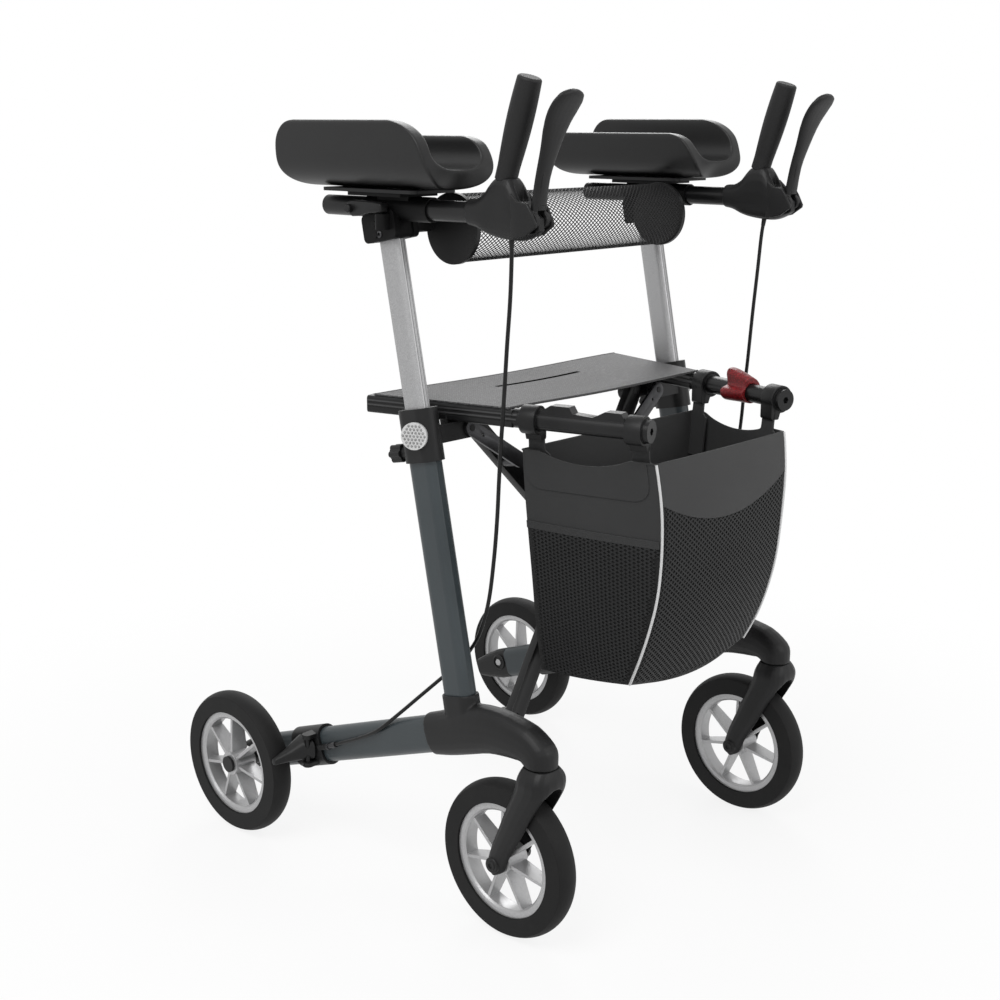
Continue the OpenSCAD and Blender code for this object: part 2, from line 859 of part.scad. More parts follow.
module at_shoe_pin() {
    translate([frame_x, rear_axle_y - shoe_pin_along, wheel_r + shoe_pin_along * tan(lower_rise)]) children();
}

module brake_bracket() {
    wall = 2 * bracket_wall;
    color("#303030") {
        difference() {
            union() {
                lower_frame() translate([0, 0, bracket_rear]) linear_extrude(bracket_len)
                    stadium(lower_depth + wall, lower_width + wall);
                at_shoe_pin() for (z = [-shoe_h / 2 - shoe_ear_t, shoe_h / 2]) bracket_ear(z);
            }
            lower_frame() translate([0, 0, bracket_rear - over - shoe_h])
                linear_extrude(bracket_len + 2 * (over + shoe_h))
                    stadium(lower_depth + 2 * seat_gap, lower_width + 2 * seat_gap);
        }
        at_shoe_pin() translate([shoe_pin_out, 0, -shoe_h / 2 - over])
            cylinder(d = shoe_pin_d, h = shoe_h + 2 * over);
        lower_frame() translate([lower_width / 2 + barrel_out, 0, bracket_rear + bracket_len - over])
            cylinder(d = barrel_d, h = barrel_len + over);
    }
}

module brake_shoe() {
    gap = move_gap;
    root = lower_width / 2 + bracket_wall + shoe_gap;
    height = shoe_h - 2 * gap;
    rings = [
        for (f = shoe_shares) [
            for (q = oval(f[3] * shoe_depth, f[4] * height, ring_n, box_power))
                [root + f[0] * shoe_reach, f[1] * shoe_back + q[0] - shoe_lead, q[1] - f[2] * shoe_fall]
        ]
    ];
    color("#303030") at_shoe_pin() difference() {
        skin(rings);
        translate([shoe_pin_out, 0, 0])
            cylinder(d = shoe_pin_d + 2 * pin_gap, h = shoe_h + over, center = true);
    }
}

// A smooth point between four route points
function smooth(a, b, c, d, t) =
    b + t / 2 * ((c - a) + t * ((2 * a - 5 * b + 4 * c - d) + t * (3 * b - a - 3 * c + d)));

function route_point(route, i) = route[max(0, min(len(route) - 1, i))];

function unit(v) = v / norm(v);

module brake_cable() {
    last = len(cable_route) - 1;
    way = [
        for (i = [0 : last - 1]) for (k = [0 : (i == last - 1 ? cable_steps : cable_steps - 1)])
            smooth(
                route_point(cable_route, i - 1), cable_route[i], cable_route[i + 1],
                route_point(cable_route, i + 2), k / cable_steps
            )
    ];
    rings = [
        for (i = [0 : len(way) - 1])
            let (
                along = unit(route_point(way, i + 1) - route_point(way, i - 1)),
                across = unit(cross(along, cable_lay)),
                up = cross(along, across)
            )
            [for (q = oval(cable_d / 2, cable_d / 2, cable_sides, 1)) way[i] + across * q[0] + up * q[1]]
    ];
    color("#1c1c1c") skin(rings);
}

// Columns

module inner_tube() {
    color("gainsboro") upright_frame() translate([0, 0, inner_low])
        slot_tube(inner_depth, inner_width, inner_wall, inner_high - inner_low, groove_w);
}

module at_arm() {
    translate([frame_x, 0, arm_z]) children();
}

module top_block() {
    core_w = block_width - 2 * cheek_t;
    color("#262626") difference() {
        union() {
            upright_frame() translate([0, 0, block_low + block_h / 2]) rotate([90, 0, 90]) {
                linear_extrude(core_w, center = true) round_rect(block_depth - core_cut, block_h, block_r);
                for (e = [-1, 1]) translate([0, 0, e * (block_width - cheek_t) / 2])
                    linear_extrude(cheek_t, center = true) round_rect(block_depth, block_h, block_r);
            }
            upright_frame() translate([0, screw_front, block_low + screw_rise])
                for (k = [0, 1]) translate([0, 0, k * screw_step])
                    bar_x(screw_d, 0, block_width / 2 + screw_t);
            at_arm() bar_front(sleeve_d, -sleeve_rear, sleeve_len - sleeve_rear);
            at_arm() translate([-carrier_post_w / 2, -sleeve_len / 2 - carrier_post_len / 2 + screw_front, 0])
                cube([carrier_post_w, carrier_post_len, sleeve_d / 2 + carrier_t]);
            translate([frame_x - carrier_w / 2, -pivot_front - carrier_len / 2, carrier_z])
                cube([carrier_w, carrier_len, carrier_t]);
            translate([frame_x, -pivot_front, carrier_z]) cylinder(d = pivot_d, h = carrier_t + plate_t);
            translate([frame_x + quick_out, -quick_front, quick_z - move_gap - quick_boss_h])
                cylinder(d = quick_d, h = quick_boss_h);
            translate([frame_x + quick_out, -quick_front, quick_z - quick_boss_h])
                cylinder(d = quick_pin_d, h = quick_boss_h + quick_h);
            translate([frame_x, -quick_front - quick_d / 2, quick_z - move_gap - quick_boss_h])
                cube([quick_out, quick_d, quick_boss_h]);
        }
        at_arm() bar_front(arm_d + 2 * slide_gap, -sleeve_rear - sleeve_len, sleeve_len);
        upright_frame() translate([0, 0, inner_low]) linear_extrude(inner_high + seat_gap - inner_low)
            stadium(inner_depth + 2 * seat_gap, inner_width + 2 * seat_gap);
    }
}

module clamp_lever() {
    color("#363636") translate([frame_x + quick_out, -quick_front, quick_z]) difference() {
        linear_extrude(quick_h) {
            circle(d = quick_d);
            polygon([
                [-quick_t / 2, 0], [quick_d / 2, 0], [quick_d / 2 - over, quick_len / 2],
                [quick_d / 2 - over, quick_len], [-quick_t / 2, quick_len]
            ]);
        }
        translate([0, 0, -over]) cylinder(d = quick_pin_d + 2 * pin_gap, h = quick_h + 2 * over);
    }
}

module pad_plate() {
    color("#262626") difference() {
        translate([frame_x, plate_rear - plate_len / 2, plate_z]) linear_extrude(plate_t)
            round_rect(plate_w, plate_len, block_r);
        translate([frame_x, -pivot_front, plate_z - over])
            cylinder(d = pivot_d + 2 * pin_gap, h = plate_t + 2 * over);
    }
}

// Across a pad: from the top of the outer wall under the arm to the top of the inner wall
function pad_side(half, bottom, top_out, top_in, turn) = concat(
    [for (k = [0 : pad_wall_steps]) [half, top_out + (turn - top_out) * k / pad_wall_steps]],
    [
        for (k = [1 : pad_turn_steps - 1])
            let (c = cos(180 * k / pad_turn_steps), s = sin(180 * k / pad_turn_steps))
                [half * sign(c) * pow(abs(c), pad_power), turn - (turn - bottom) * pow(s, pad_power)]
    ],
    [for (k = [0 : pad_wall_steps]) [-half, turn + (top_in - turn) * k / pad_wall_steps]]
);

// A quarter of an oval that falls away over a height
function swept(depth, reach, height) =
    depth < height ? reach * (1 - sqrt(1 - pow(1 - max(0, depth) / height, 2))) : 0;

// How far an end is swept back at a point of the section
function pad_sweep(p, f) =
    let (
        out = p[0] > 0,
        depth = pad_z + pad_h - (out ? 0 : pad_step) - p[1],
        rise = min(1, 2 * (p[1] - pad_z) / pad_h)
    )
    pad_len * f[0] * rise + swept(depth, pad_len * (out ? f[1] : f[2]), pad_h * (out ? f[3] : f[4]));

// A pad's section at one of its ends, drawn in by e from its surface
function pad_ring(y, f, way, e) =
    let (
        half = pad_w / 2,
        turn = pad_z + pad_h * pad_turn_share,
        crest = pad_wall / 4,
        high = pad_z + pad_h - e,
        low = high - pad_step,
        skin_out = pad_side(half - e, pad_z + e, high - crest, low - crest, turn),
        skin_in = pad_side(half - pad_wall + e, pad_z + pad_floor - e, high - crest, low - crest, turn),
        mid = half - pad_wall / 2,
        points = concat(
            skin_out, [[-mid, low]], [for (k = [len(skin_in) - 1 : -1 : 0]) skin_in[k]], [[mid, high]]
        )
    )
    [for (p = points) [frame_x + p[0], y + way * pad_sweep(p, f), p[1]]];

// A skin over trough sections, each closed across its ends from its outer to its inner side
module trough(rings) {
    n = len(rings[0]);
    m = len(rings);
    half = n / 2 - 1;
    walls = [
        for (i = [0 : m - 2]) for (j = [0 : n - 1])
            let (a = i * n + j, b = i * n + (j + 1) % n)
                each [[a, a + n, b + n], [a, b + n, b]]
    ];
    cap = concat(
        [
            for (k = [0 : half - 2])
                let (a = k, b = k + 1, c = n - 3 - k, d = n - 2 - k)
                    each [[a, b, c], [a, c, d]]
        ],
        [[half - 1, half, half + 1], [0, n - 2, n - 1]]
    );
    last = [for (t = cap) [for (k = [2, 1, 0]) t[k] + (m - 1) * n]];
    polyhedron([for (r = rings) each r], concat(walls, cap, last), convexity = 6);
}

module arm_pad() {
    front = pad_rear - pad_len;
    rings = concat(
        [for (e = nose_shares) pad_ring(front + pad_nose * (1 - e[0]), pad_front_shares, 1, pad_nose * e[1])],
        [
            for (k = [2 : -1 : 0])
                let (e = nose_shares[k])
                    pad_ring(pad_rear - pad_nose * (1 - e[0]), pad_rear_shares, -1, pad_nose * e[1])
        ]
    );
    color("#3a3a3a") trough(rings);
}

// Handles

module handle_tube() {
    color("#202020") at_arm() difference() {
        bar_front(arm_d, -arm_rear, arm_front);
        bar_front(arm_d - 2 * tube_wall, -arm_rear + tube_wall, arm_front + over);
    }
}

module at_grip() {
    translate([frame_x, -grip_front, arm_z + grip_rise]) rotate([grip_tilt, 0, 0]) children();
}

module at_lever_pivot() {
    translate([frame_x, -lever_front, arm_z - lever_drop]) children();
}

module brake_housing() {
    rings = [
        for (f = housing_shares) ring_at(
            [
                frame_x, -housing_rear - f[0] * housing_len,
                arm_z - housing_low + (f[1] + f[2]) / 2 * housing_h
            ],
            0, f[3] * housing_w, (f[2] - f[1]) / 2 * housing_h, box_power
        )
    ];
    color("#2e2e2e") {
        difference() {
            skin(finer(rings));
            at_arm() bar_front(arm_d + 2 * seat_gap, housing_rear - over, arm_front + seat_gap);
            at_grip() cylinder(d = grip_d + 2 * seat_gap, h = grip_len);
            at_lever_pivot() for (e = [-1, 1]) scale([e, 1, 1])
                bar_x(lever_cut_d, lever_tongue_w / 2, housing_w);
            translate([frame_x - notch_w / 2, -housing_rear - housing_len, arm_z + notch_rise])
                cube([notch_w, housing_len * notch_share, notch_h]);
        }
        at_lever_pivot() bar_x(lever_pin_d, -lever_knuckle_w / 2, lever_knuckle_w / 2);
    }
}

// A grip's radius along it: straight in its socket, then a barrel
function grip_r(share) =
    grip_d / 2 * (1 + grip_swell * sin(grip_turn * max(0, share - grip_seat_share) / (1 - grip_seat_share)));

module hand_grip() {
    edge = grip_d / 8;
    top = grip_r(1);
    color("#262626") at_grip() rotate_extrude() {
        polygon(concat(
            [[0, grip_len - edge], [0, 0]],
            [for (k = [0 : grip_steps]) [grip_r(k / grip_steps), (grip_len - edge) * k / grip_steps]]
        ));
        translate([0, grip_len - 2 * edge]) square([top - edge, 2 * edge]);
        translate([top - edge, grip_len - edge]) circle(edge);
    }
}

module brake_lever() {
    rings = [
        for (f = lever_shares) ring_at(
            [0, -f[0] * lever_reach, f[1] * lever_h], f[2], f[3] * lever_w, f[4] * lever_t
        )
    ];
    color("#2e2e2e") at_lever_pivot() difference() {
        union() {
            skin(finer(rings));
            bar_x(lever_knuckle_d, -lever_knuckle_w / 2, lever_knuckle_w / 2);
        }
        bar_x(lever_slot_d, -lever_tongue_w / 2 - move_gap, lever_tongue_w / 2 + move_gap);
        bar_x(lever_pin_d + 2 * pin_gap, -lever_knuckle_w, lever_knuckle_w);
    }
}

// Folding middle

// A brace in its own layer, from its foot on one side to its head on the other
module cross_brace(s) {
    run = brace_foot_x + brace_head_x;
    rise = brace_foot_drop + brace_head_rise;
    length = norm([run, rise]);
    centre = length * brace_foot_x / run;
    bore = brace_pin_d + 2 * pin_gap;
    layer = s < 0 ? move_gap : -move_gap - brace_t;
    color("#262626") brace_frame() translate([brace_foot_x, -brace_foot_drop, layer])
        rotate([0, 0, 180 - atan2(rise, run)]) {
            linear_extrude(brace_t) difference() {
                union() {
                    translate([0, -brace_w / 2]) square([length, brace_w]);
                    for (x = [0, length]) translate([x, 0]) circle(d = brace_w);
                }
                for (x = [0, length]) translate([x, 0]) circle(d = bore);
                if (s > 0) translate([centre, 0]) circle(d = bore);
            }
            if (s < 0) translate([centre, 0, -brace_t - 2 * move_gap])
                cylinder(d = brace_pin_d, h = 2 * brace_t + 2 * move_gap);
        }
}

module fold_link(s) {
    back = link_layer - (s < 0 ? 0 : brace_t + 2 * move_gap);
    color("#6a6a6a") brace_frame() translate([link_pin_x, link_pin_s, link_layer + link_lug_t + move_gap])
        rotate([0, 0, 180 - link_angle]) {
            linear_extrude(link_t) difference() {
                union() {
                    translate([0, -link_w / 2]) square([link_len, link_w]);
                    for (x = [0, link_len]) translate([x, 0]) circle(d = link_w);
                }
                circle(d = link_pin_d + 2 * pin_gap);
                translate([link_w, 0]) circle(d = link_pin_d / 2);
            }
            translate([link_len, 0, -link_lug_t - move_gap - back])
                cylinder(d = link_boss_d, h = link_lug_t + move_gap + back + link_t);
        }
}

// The lug under a rail that carries a brace's head, behind the right foot's brace
// and in front of the left foot's brace
module head_lug(s) {
    reach = rail_x(foot_y + brace_head_rise * sin(upright_lean)) - brace_head_x;
    top = (rail_z - foot_z - brace_head_rise * cos(upright_lean)) / cos(upright_lean);
    translate([brace_head_x, brace_head_rise, s > 0 ? -foot_lug_t : 0]) linear_extrude(foot_lug_t) {
        circle(d = head_lug_h);
        translate([0, -head_lug_h / 2]) square([reach, head_lug_h]);
        translate([reach - head_lug_h / 2, 0]) square([head_lug_h, top]);
    }
    translate([brace_head_x, brace_head_rise, s > 0 ? 0 : -brace_t - move_gap])
        cylinder(d = brace_pin_d, h = brace_t + move_gap);
}

module seat_rail(s) {
    catch_low = front_d * catch_low_share;
    color("#2b2b2b") {
        brace_frame() head_lug(s);
        rail_frame() difference() {
            union() {
                linear_extrude(bar_len) round_rect(rail_w, rail_h, rail_r);
                translate([0, 0, bar_len - over])
                    cylinder(d = front_d, h = rail_len - bar_len - cap_len + over);
                for (z = ring_places) translate([0, 0, z]) cylinder(d = ring_d, h = ring_len);
                translate([0, 0, rail_len - cap_len]) cylinder(d = cap_d, h = cap_len);
                if (s < 0) translate([0, 0, catch_start]) rotate([0, -90, 0])
                    linear_extrude(catch_w, center = true) polygon(concat(
                        [for (k = [len(catch_shares) - 1, 0]) [catch_shares[k][0] * catch_len, 0]],
                        [for (f = catch_shares) [f[0] * catch_len, catch_low + f[1] * catch_rise]]
                    ));
            }
            translate([0, 0, rail_len - cap_socket_depth])
                cylinder(d = cap_socket_d, h = cap_socket_depth + over, $fn = 6);
        }
    }
}

module fold_lock() {
    color("#96282d") rail_frame() translate([0, 0, lock_at]) difference() {
        union() {
            cylinder(d = lock_d, h = lock_len);
            for (a = lock_ear_turns) rotate(a)
                translate([lock_d / 2 - lock_ear_root, -lock_ear_t / 2, lock_ear_inset])
                    cube([lock_ear_root + lock_ear, lock_ear_t, lock_len - 2 * lock_ear_inset]);
        }
        translate([0, 0, -over]) cylinder(d = front_d + 2 * move_gap, h = lock_len + 2 * over);
    }
}

// Soft goods

module seat_cloth() {
    front = seat_rear - seat_len;
    color("#8a8a8a") translate([0, 0, rail_z + rail_h / 2 + move_gap]) linear_extrude(seat_t) polygon([
        [rail_x(seat_rear) + seat_out, seat_rear], [-rail_x(seat_rear) - seat_out, seat_rear],
        [-rail_x(front) - seat_out, front], [rail_x(front) + seat_out, front]
    ]);
}

// The bag's outline at one height, drawn in by e, with round corners
function bag_ring(z, f, e) =
    let (
        rear = -bag_rear_front - e,
        front = -bag_rear_front - f[1] * bag_front_len + e,
        wide = (rail_x(-bag_rear_front) - bag_inset) * f[3] - e,
        narrow = (rail_x(-bag_rear_front - bag_front_len) - bag_inset) * f[2] - e,
        corners = [
            [narrow, front, -90, bag_front_r - e, -1, 1], [wide, rear, 0, bag_rear_r - e, -1, -1],
            [-wide, rear, 90, bag_rear_r - e, 1, -1], [-narrow, front, 180, bag_front_r - e, 1, 1]
        ]
    )
    [
        for (c = corners) for (k = [0 : bag_corner_steps])
            let (a = c[2] + 90 * k / bag_corner_steps)
                [c[0] + c[3] * (c[4] + cos(a)), c[1] + c[3] * (c[5] + sin(a)), z]
    ];

// A loop round a rail's ring with a tab down to the bag's wall
module bag_strap(place) {
    loop_r = ring_d / 2 + move_gap;
    inside = bag_inset + bag_wall * strap_in_share;
    drop = bag_drop + strap_sink;
    translate([0, 0, place - strap_w / 2]) difference() {
        union() {
            cylinder(r = loop_r + strap_t, h = strap_w);
            translate([-inside - strap_t / 2, -drop, 0]) cube([strap_t, drop, strap_w]);
        }
        translate([0, 0, -over]) cylinder(r = loop_r, h = strap_w + 2 * over);
    }
}

module bag() {
    low = bag_top - bag_h;
    out_rings = [for (f = bag_shares) bag_ring(low + f[0] * bag_h, f, 0)];
    in_rings = [
        for (i = [len(bag_shares) - 1 : -1 : 0])
            let (f = bag_shares[i]) bag_ring(low + max(f[0] * bag_h, bag_wall), f, bag_wall)
    ];
    color("#343434") {
        skin(concat(out_rings, in_rings));
        for (s = [-1, 1]) on_side(s) rail_frame() for (place = strap_places) bag_strap(place);
    }
}

// Back roll

module at_roll() {
    translate([0, -roll_front, roll_z]) children();
}

module roll_net() {
    color("#3c3c3c") at_roll() difference() {
        bar_x(roll_d - 2 * disc_lip, -roll_x + move_gap, roll_x - move_gap);
        bar_x(roll_d - 2 * disc_lip - 2 * net_wall, -roll_x, roll_x);
    }
}

module roll_disc() {
    color("#2a2a2a") {
        at_roll() bar_x(roll_d, roll_x, roll_x + disc_t);
        translate([0, -roll_arm_front, arm_z - roll_arm_drop])
            bar_x(roll_arm_d, roll_x + disc_t - over, frame_x - block_width / 2);
    }
}

for (side = sides) {
    name = str(side[0], "_");
    s = side[1];
    on_side(s) front_casting(s);
    on_side(s) lower_tube();
    on_side(s) upright_tube();
    on_side(s) height_collar();
    on_side(s) reflector();
    on_side(s) height_knob();
    on_side(s) rear_end();
    on_side(s) brake_bracket();
    on_side(s) brake_shoe();
    on_side(s) brake_cable();
    on_side(s) inner_tube();
    on_side(s) top_block();
    on_side(s) clamp_lever();
    on_side(s) pad_plate();
    on_side(s) arm_pad();
    on_side(s) handle_tube();
    on_side(s) brake_housing();
    on_side(s) hand_grip();
    on_side(s) brake_lever();
    on_side(s) roll_disc();
    on_side(s) rear_rim();
    on_side(s) rear_tyre();
    on_side(s) caster_fork();
    on_side(s) caster_rim();
    on_side(s) caster_tyre();
    on_side(s) cross_brace(s);
    on_side(s) fold_link(s);
    on_side(s) seat_rail(s);
}
seat_cloth();
bag();
roll_net();
fold_lock();
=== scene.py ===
import json
import math

import bmesh
import bpy
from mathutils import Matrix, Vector

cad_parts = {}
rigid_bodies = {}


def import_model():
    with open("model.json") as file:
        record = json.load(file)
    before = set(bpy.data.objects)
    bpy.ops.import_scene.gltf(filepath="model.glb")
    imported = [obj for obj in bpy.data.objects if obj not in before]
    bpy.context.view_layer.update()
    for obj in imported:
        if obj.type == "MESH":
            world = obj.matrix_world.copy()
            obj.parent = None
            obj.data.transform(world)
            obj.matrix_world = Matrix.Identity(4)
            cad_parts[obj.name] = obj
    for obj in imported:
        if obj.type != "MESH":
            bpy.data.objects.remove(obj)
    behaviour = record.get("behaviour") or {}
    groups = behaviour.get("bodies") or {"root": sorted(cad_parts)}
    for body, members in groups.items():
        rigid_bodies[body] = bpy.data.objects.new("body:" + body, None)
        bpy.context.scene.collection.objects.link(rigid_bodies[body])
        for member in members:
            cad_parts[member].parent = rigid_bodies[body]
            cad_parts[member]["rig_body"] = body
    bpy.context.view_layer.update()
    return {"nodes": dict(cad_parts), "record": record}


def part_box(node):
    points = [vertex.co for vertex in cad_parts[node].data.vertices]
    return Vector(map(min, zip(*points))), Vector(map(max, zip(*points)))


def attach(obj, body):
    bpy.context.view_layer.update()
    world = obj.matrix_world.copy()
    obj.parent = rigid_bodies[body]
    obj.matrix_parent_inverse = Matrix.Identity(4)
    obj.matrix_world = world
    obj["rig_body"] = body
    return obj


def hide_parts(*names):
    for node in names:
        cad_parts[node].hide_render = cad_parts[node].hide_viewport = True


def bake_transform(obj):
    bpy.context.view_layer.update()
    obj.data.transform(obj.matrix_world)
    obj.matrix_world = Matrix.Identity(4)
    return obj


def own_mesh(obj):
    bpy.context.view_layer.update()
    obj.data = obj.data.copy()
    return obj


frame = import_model()
scene = bpy.context.scene
scene.view_settings.view_transform = "Standard"
nodes = frame["nodes"]
SIDES = (("right", -1), ("left", 1))
# Millimetres in a metre: the finishes read places and cloths in millimetres
MM = 1000.0
# How far the columns stand from the middle, as do the pads, the brakes and the front wheels
COLUMN_X = 0.246
# Where the rails' grooved rear part ends, in millimetres
GROOVES_END = -180

# The camera stands where the photograph was taken from
camera = bpy.data.objects.new("camera", bpy.data.cameras.new("camera"))
scene.collection.objects.link(camera)
camera.data.lens = 55.0
camera.data.sensor_width = 36.0
camera.location = (-1.4898, -1.3784, 0.9735)
camera.rotation_euler = (math.radians(75.93), 0, math.radians(-46.75))
scene.camera = camera


def joined(operation, reflected=False):
    """An operator of a field, which adds a Math node."""
    def operator(self, other):
        return self.math(operation, *((other, self) if reflected else (self, other)))
    return operator


class Field:
    """A value over a surface or along a mesh. Arithmetic on it adds Math nodes."""

    __add__ = __radd__ = joined("ADD")
    __mul__ = __rmul__ = joined("MULTIPLY")
    __sub__ = joined("SUBTRACT")
    __rsub__ = joined("SUBTRACT", reflected=True)
    __truediv__ = joined("DIVIDE")
    __pow__ = joined("POWER")

    def __init__(self, graph, socket):
        self.graph, self.socket = graph, socket

    def __abs__(self):
        return self.math("ABSOLUTE", self)

    def out(self, name):
        return Field(self.graph, self.socket.node.outputs[name])

    def math(self, operation, *values):
        return self.graph.add(self.graph.maths, {"operation": operation}, dict(enumerate(values)))

    def sine(self):
        return self.math("SINE", self)

    def rise(self, low, high):
        """0 below low, 1 above high, smooth between."""
        return self.graph.add(
            "ShaderNodeMapRange", {"interpolation_type": "SMOOTHSTEP"}, {0: self, 1: low, 2: high}
        )


class Graph:
    """A node tree that is filled through one method."""

    maths = "ShaderNodeMath"

    def __init__(self, tree):
        self.tree = tree

    def add(self, kind, settings=None, sockets=None, out=0):
        node = self.tree.nodes.new(kind)
        for name, value in (settings or {}).items():
            setattr(node, name, value)
        for name, value in (sockets or {}).items():
            self.feed(node.inputs[name], value)
        return Field(self, node.outputs[out]) if node.outputs else node

    def feed(self, socket, value):
        if isinstance(value, Field):
            self.tree.links.new(value.socket, socket)
        elif socket.type == "RGBA" and len(value) == 3:
            socket.default_value = (*value, 1)
        else:
            socket.default_value = value


class Finish(Graph):
    """A material, with fields over its surface and the shader that they feed."""

    def __init__(self, name, **fixed):
        self.material = bpy.data.materials.new(name)
        self.material.use_nodes = True
        super().__init__(self.material.node_tree)
        self.shader = self.tree.nodes["Principled BSDF"]
        self.place = self.add("ShaderNodeTexCoord", out="Object")
        for name, value in fixed.items():
            self.feed(self.shader.inputs[name.replace("_", " ").title().replace("Ior", "IOR")], value)

    def noise(self, scale, detail=2.0, rough=0.5, place=None):
        return self.add("ShaderNodeTexNoise", None, {
            "Vector": place or self.place, "Scale": scale, "Detail": detail, "Roughness": rough
        })

    def cells(self, scale, feature="F1"):
        return self.add("ShaderNodeTexVoronoi", {"feature": feature}, {"Vector": self.place, "Scale": scale})

    def stretched(self, *shares):
        return self.add("ShaderNodeVectorMath", {"operation": "MULTIPLY"}, {0: self.place, 1: shares})

    def along(self, field, axis):
        return self.add("ShaderNodeSeparateXYZ", None, {0: field}, out=axis)

    def mix(self, share, low, high):
        return self.add("ShaderNodeMix", {"data_type": "RGBA"}, {0: share, 6: low, 7: high}, out=2)

    def edge_round(self, radius):
        return self.add("ShaderNodeBevel", {"samples": 4}, {"Radius": radius})

    def bump(self, height, depth, normal=None):
        sockets = {"Height": height, "Distance": depth}
        if normal:
            sockets["Normal"] = normal
        return self.add("ShaderNodeBump", None, sockets)

    def coat(self, colour=None, rough=None, normal=None, **more):
        found = {"Base Color": colour, "Roughness": rough, "Normal": normal, **more}
        for name, value in found.items():
            if value is not None:
                self.feed(self.shader.inputs[name], value)
        return self


def shade(colour, share):
    return tuple(c * share for c in colour)


# Finishes

def moulded(name, colour, rough=0.46, grain=1500, depth=0.00005, round_by=0.0007, specular=0.26):
    """Black moulded plastic: fine grain, faint smudges and slightly round edges."""
    f = Finish(name, specular_ior_level=specular)
    smudge = f.noise(11, 3, 0.6)
    fine = f.noise(grain, 2, 0.6)
    pits = f.cells(grain * 0.7)
    base = f.mix(smudge.rise(0.3, 0.75), shade(colour, 0.82), shade(colour, 1.2))
    base = f.mix(fine.rise(0.62, 0.8) * 0.35, base, shade(colour, 2.2))
    normal = f.bump(fine * 0.6 + pits * 0.4, depth, f.edge_round(round_by))
    return f.coat(base, rough - 0.07 + 0.14 * smudge + 0.05 * fine, normal)


def powder_coat():
    """Anthracite powder coat with a fine metallic fleck and orange peel."""
    dark, light = (0.025, 0.033, 0.037), (0.036, 0.046, 0.051)
    f = Finish("anthracite_coat", specular_ior_level=0.42)
    smudge = f.noise(7, 3, 0.55)
    peel = f.noise(520, 1)
    fleck = f.cells(2600).rise(0.17, 0.05)
    base = f.mix(smudge.rise(0.25, 0.75), dark, light)
    base = f.mix(fleck * 0.4, base, (0.16, 0.18, 0.19))
    normal = f.bump(peel, 0.00005, f.edge_round(0.0006))
    return f.coat(base, 0.31 + 0.1 * smudge - 0.06 * fleck, normal)


def anodised():
    """Silver column tube, blasted and anodised, with a fine sparkle. Along its front and rear run a painted
    highlight band and a dark line of painted shade in the groove.
    """
    f = Finish("silver_anodised", specular_ior_level=0.5, metallic=0.75)
    cloud = f.noise(16, 3, 0.6)
    grit = f.noise(1300, 3, 0.7)
    spark = f.cells(1500).rise(0.2, 0.06)
    base = f.mix(grit.rise(0.32, 0.7), (0.29, 0.29, 0.294), (0.48, 0.48, 0.485))
    base = f.mix(spark * 0.5, base, (0.78, 0.78, 0.79))
    out = abs(abs(f.along(f.place, "X")) * MM - COLUMN_X * MM)
    # Painted highlight: a lighter band 3 to 4.7 mm from the column's axis, where light falls on the groove's
    # edge
    base = f.mix(out.rise(2.9, 3.3) * (1 - out.rise(4.0, 4.7)) * 0.35, base, (0.8, 0.8, 0.81))
    # Painted shade: a dark line 2.3 mm from the axis, inside the groove
    base = f.mix((1 - abs(out - 2.3).rise(0.25, 0.7)) * 0.8, base, (0.1, 0.1, 0.102))
    return f.coat(base, 0.36 + 0.1 * cloud - 0.1 * spark, f.bump(grit, 0.00008))


def black_coat(name, grooves=()):
    """Satin black coat on rails, braces and handle tubes. Grooves are heights on a rail, in millimetres: each
    is bumped in and painted dark as shade, with a painted highlight band just above it.
    """
    f = Finish(name, specular_ior_level=0.28)
    smudge = f.noise(14, 3)
    peel = f.noise(800, 1)
    scuff = f.noise(60, 4, 0.7, f.stretched(1, 12, 1)).rise(0.66, 0.8)
    base = f.mix(smudge.rise(0.3, 0.7), (0.006, 0.006, 0.0064), (0.010, 0.010, 0.0104))
    base = f.mix(scuff * 0.25, base, (0.045, 0.045, 0.046))
    normal = f.bump(peel, 0.00004, f.edge_round(0.0008))
    up = f.along(f.place, "Z") * MM
    for height in grooves:
        rear = (f.along(f.place, "Y") * MM).rise(GROOVES_END - 1, GROOVES_END)
        # Painted shade: the groove's line is painted near black, as well as bumped in
        shaded_groove = rear * (1 - abs(up - height).rise(0.3, 0.9))
        # Painted highlight: a lighter band 2.2 mm above each groove
        painted_highlight_band = rear * (1 - abs(up - height - 2.2).rise(0.5, 1.4))
        base = f.mix(shaded_groove, base, (0.002, 0.002, 0.002))
        base = f.mix(painted_highlight_band * 0.7, base, (0.07, 0.07, 0.071))
        normal = f.bump(1 - shaded_groove, 0.0008, normal)
    return f.coat(base, 0.27 + 0.12 * smudge + 0.1 * scuff, normal)


def zinc():
    """Dark zinc on the fold links."""
    f = Finish("dark_zinc", metallic=0.8)
    cloud = f.noise(40, 3)
    fine = f.noise(900, 3)
    base = f.mix(cloud.rise(0.3, 0.7), (0.05, 0.05, 0.053), (0.075, 0.075, 0.078))
    return f.coat(base, 0.3 + 0.16 * fine, f.bump(fine, 0.00004, f.edge_round(0.0005)))


def silver_moulding():
    """Wheel rims: silver moulding with a metallic grain and patches of dust."""
    f = Finish("silver_moulding", specular_ior_level=0.5, metallic=0.6)
    grit = f.noise(1700, 3, 0.75)
    cloud = f.noise(28, 3)
    base = f.mix(grit.rise(0.3, 0.72), (0.31, 0.31, 0.313), (0.55, 0.55, 0.555))
    base = f.mix(cloud.rise(0.55, 0.85) * 0.25, base, (0.28, 0.275, 0.27))
    normal = f.bump(grit, 0.00006, f.edge_round(0.0009))
    return f.coat(base, 0.3 + 0.14 * cloud, normal)


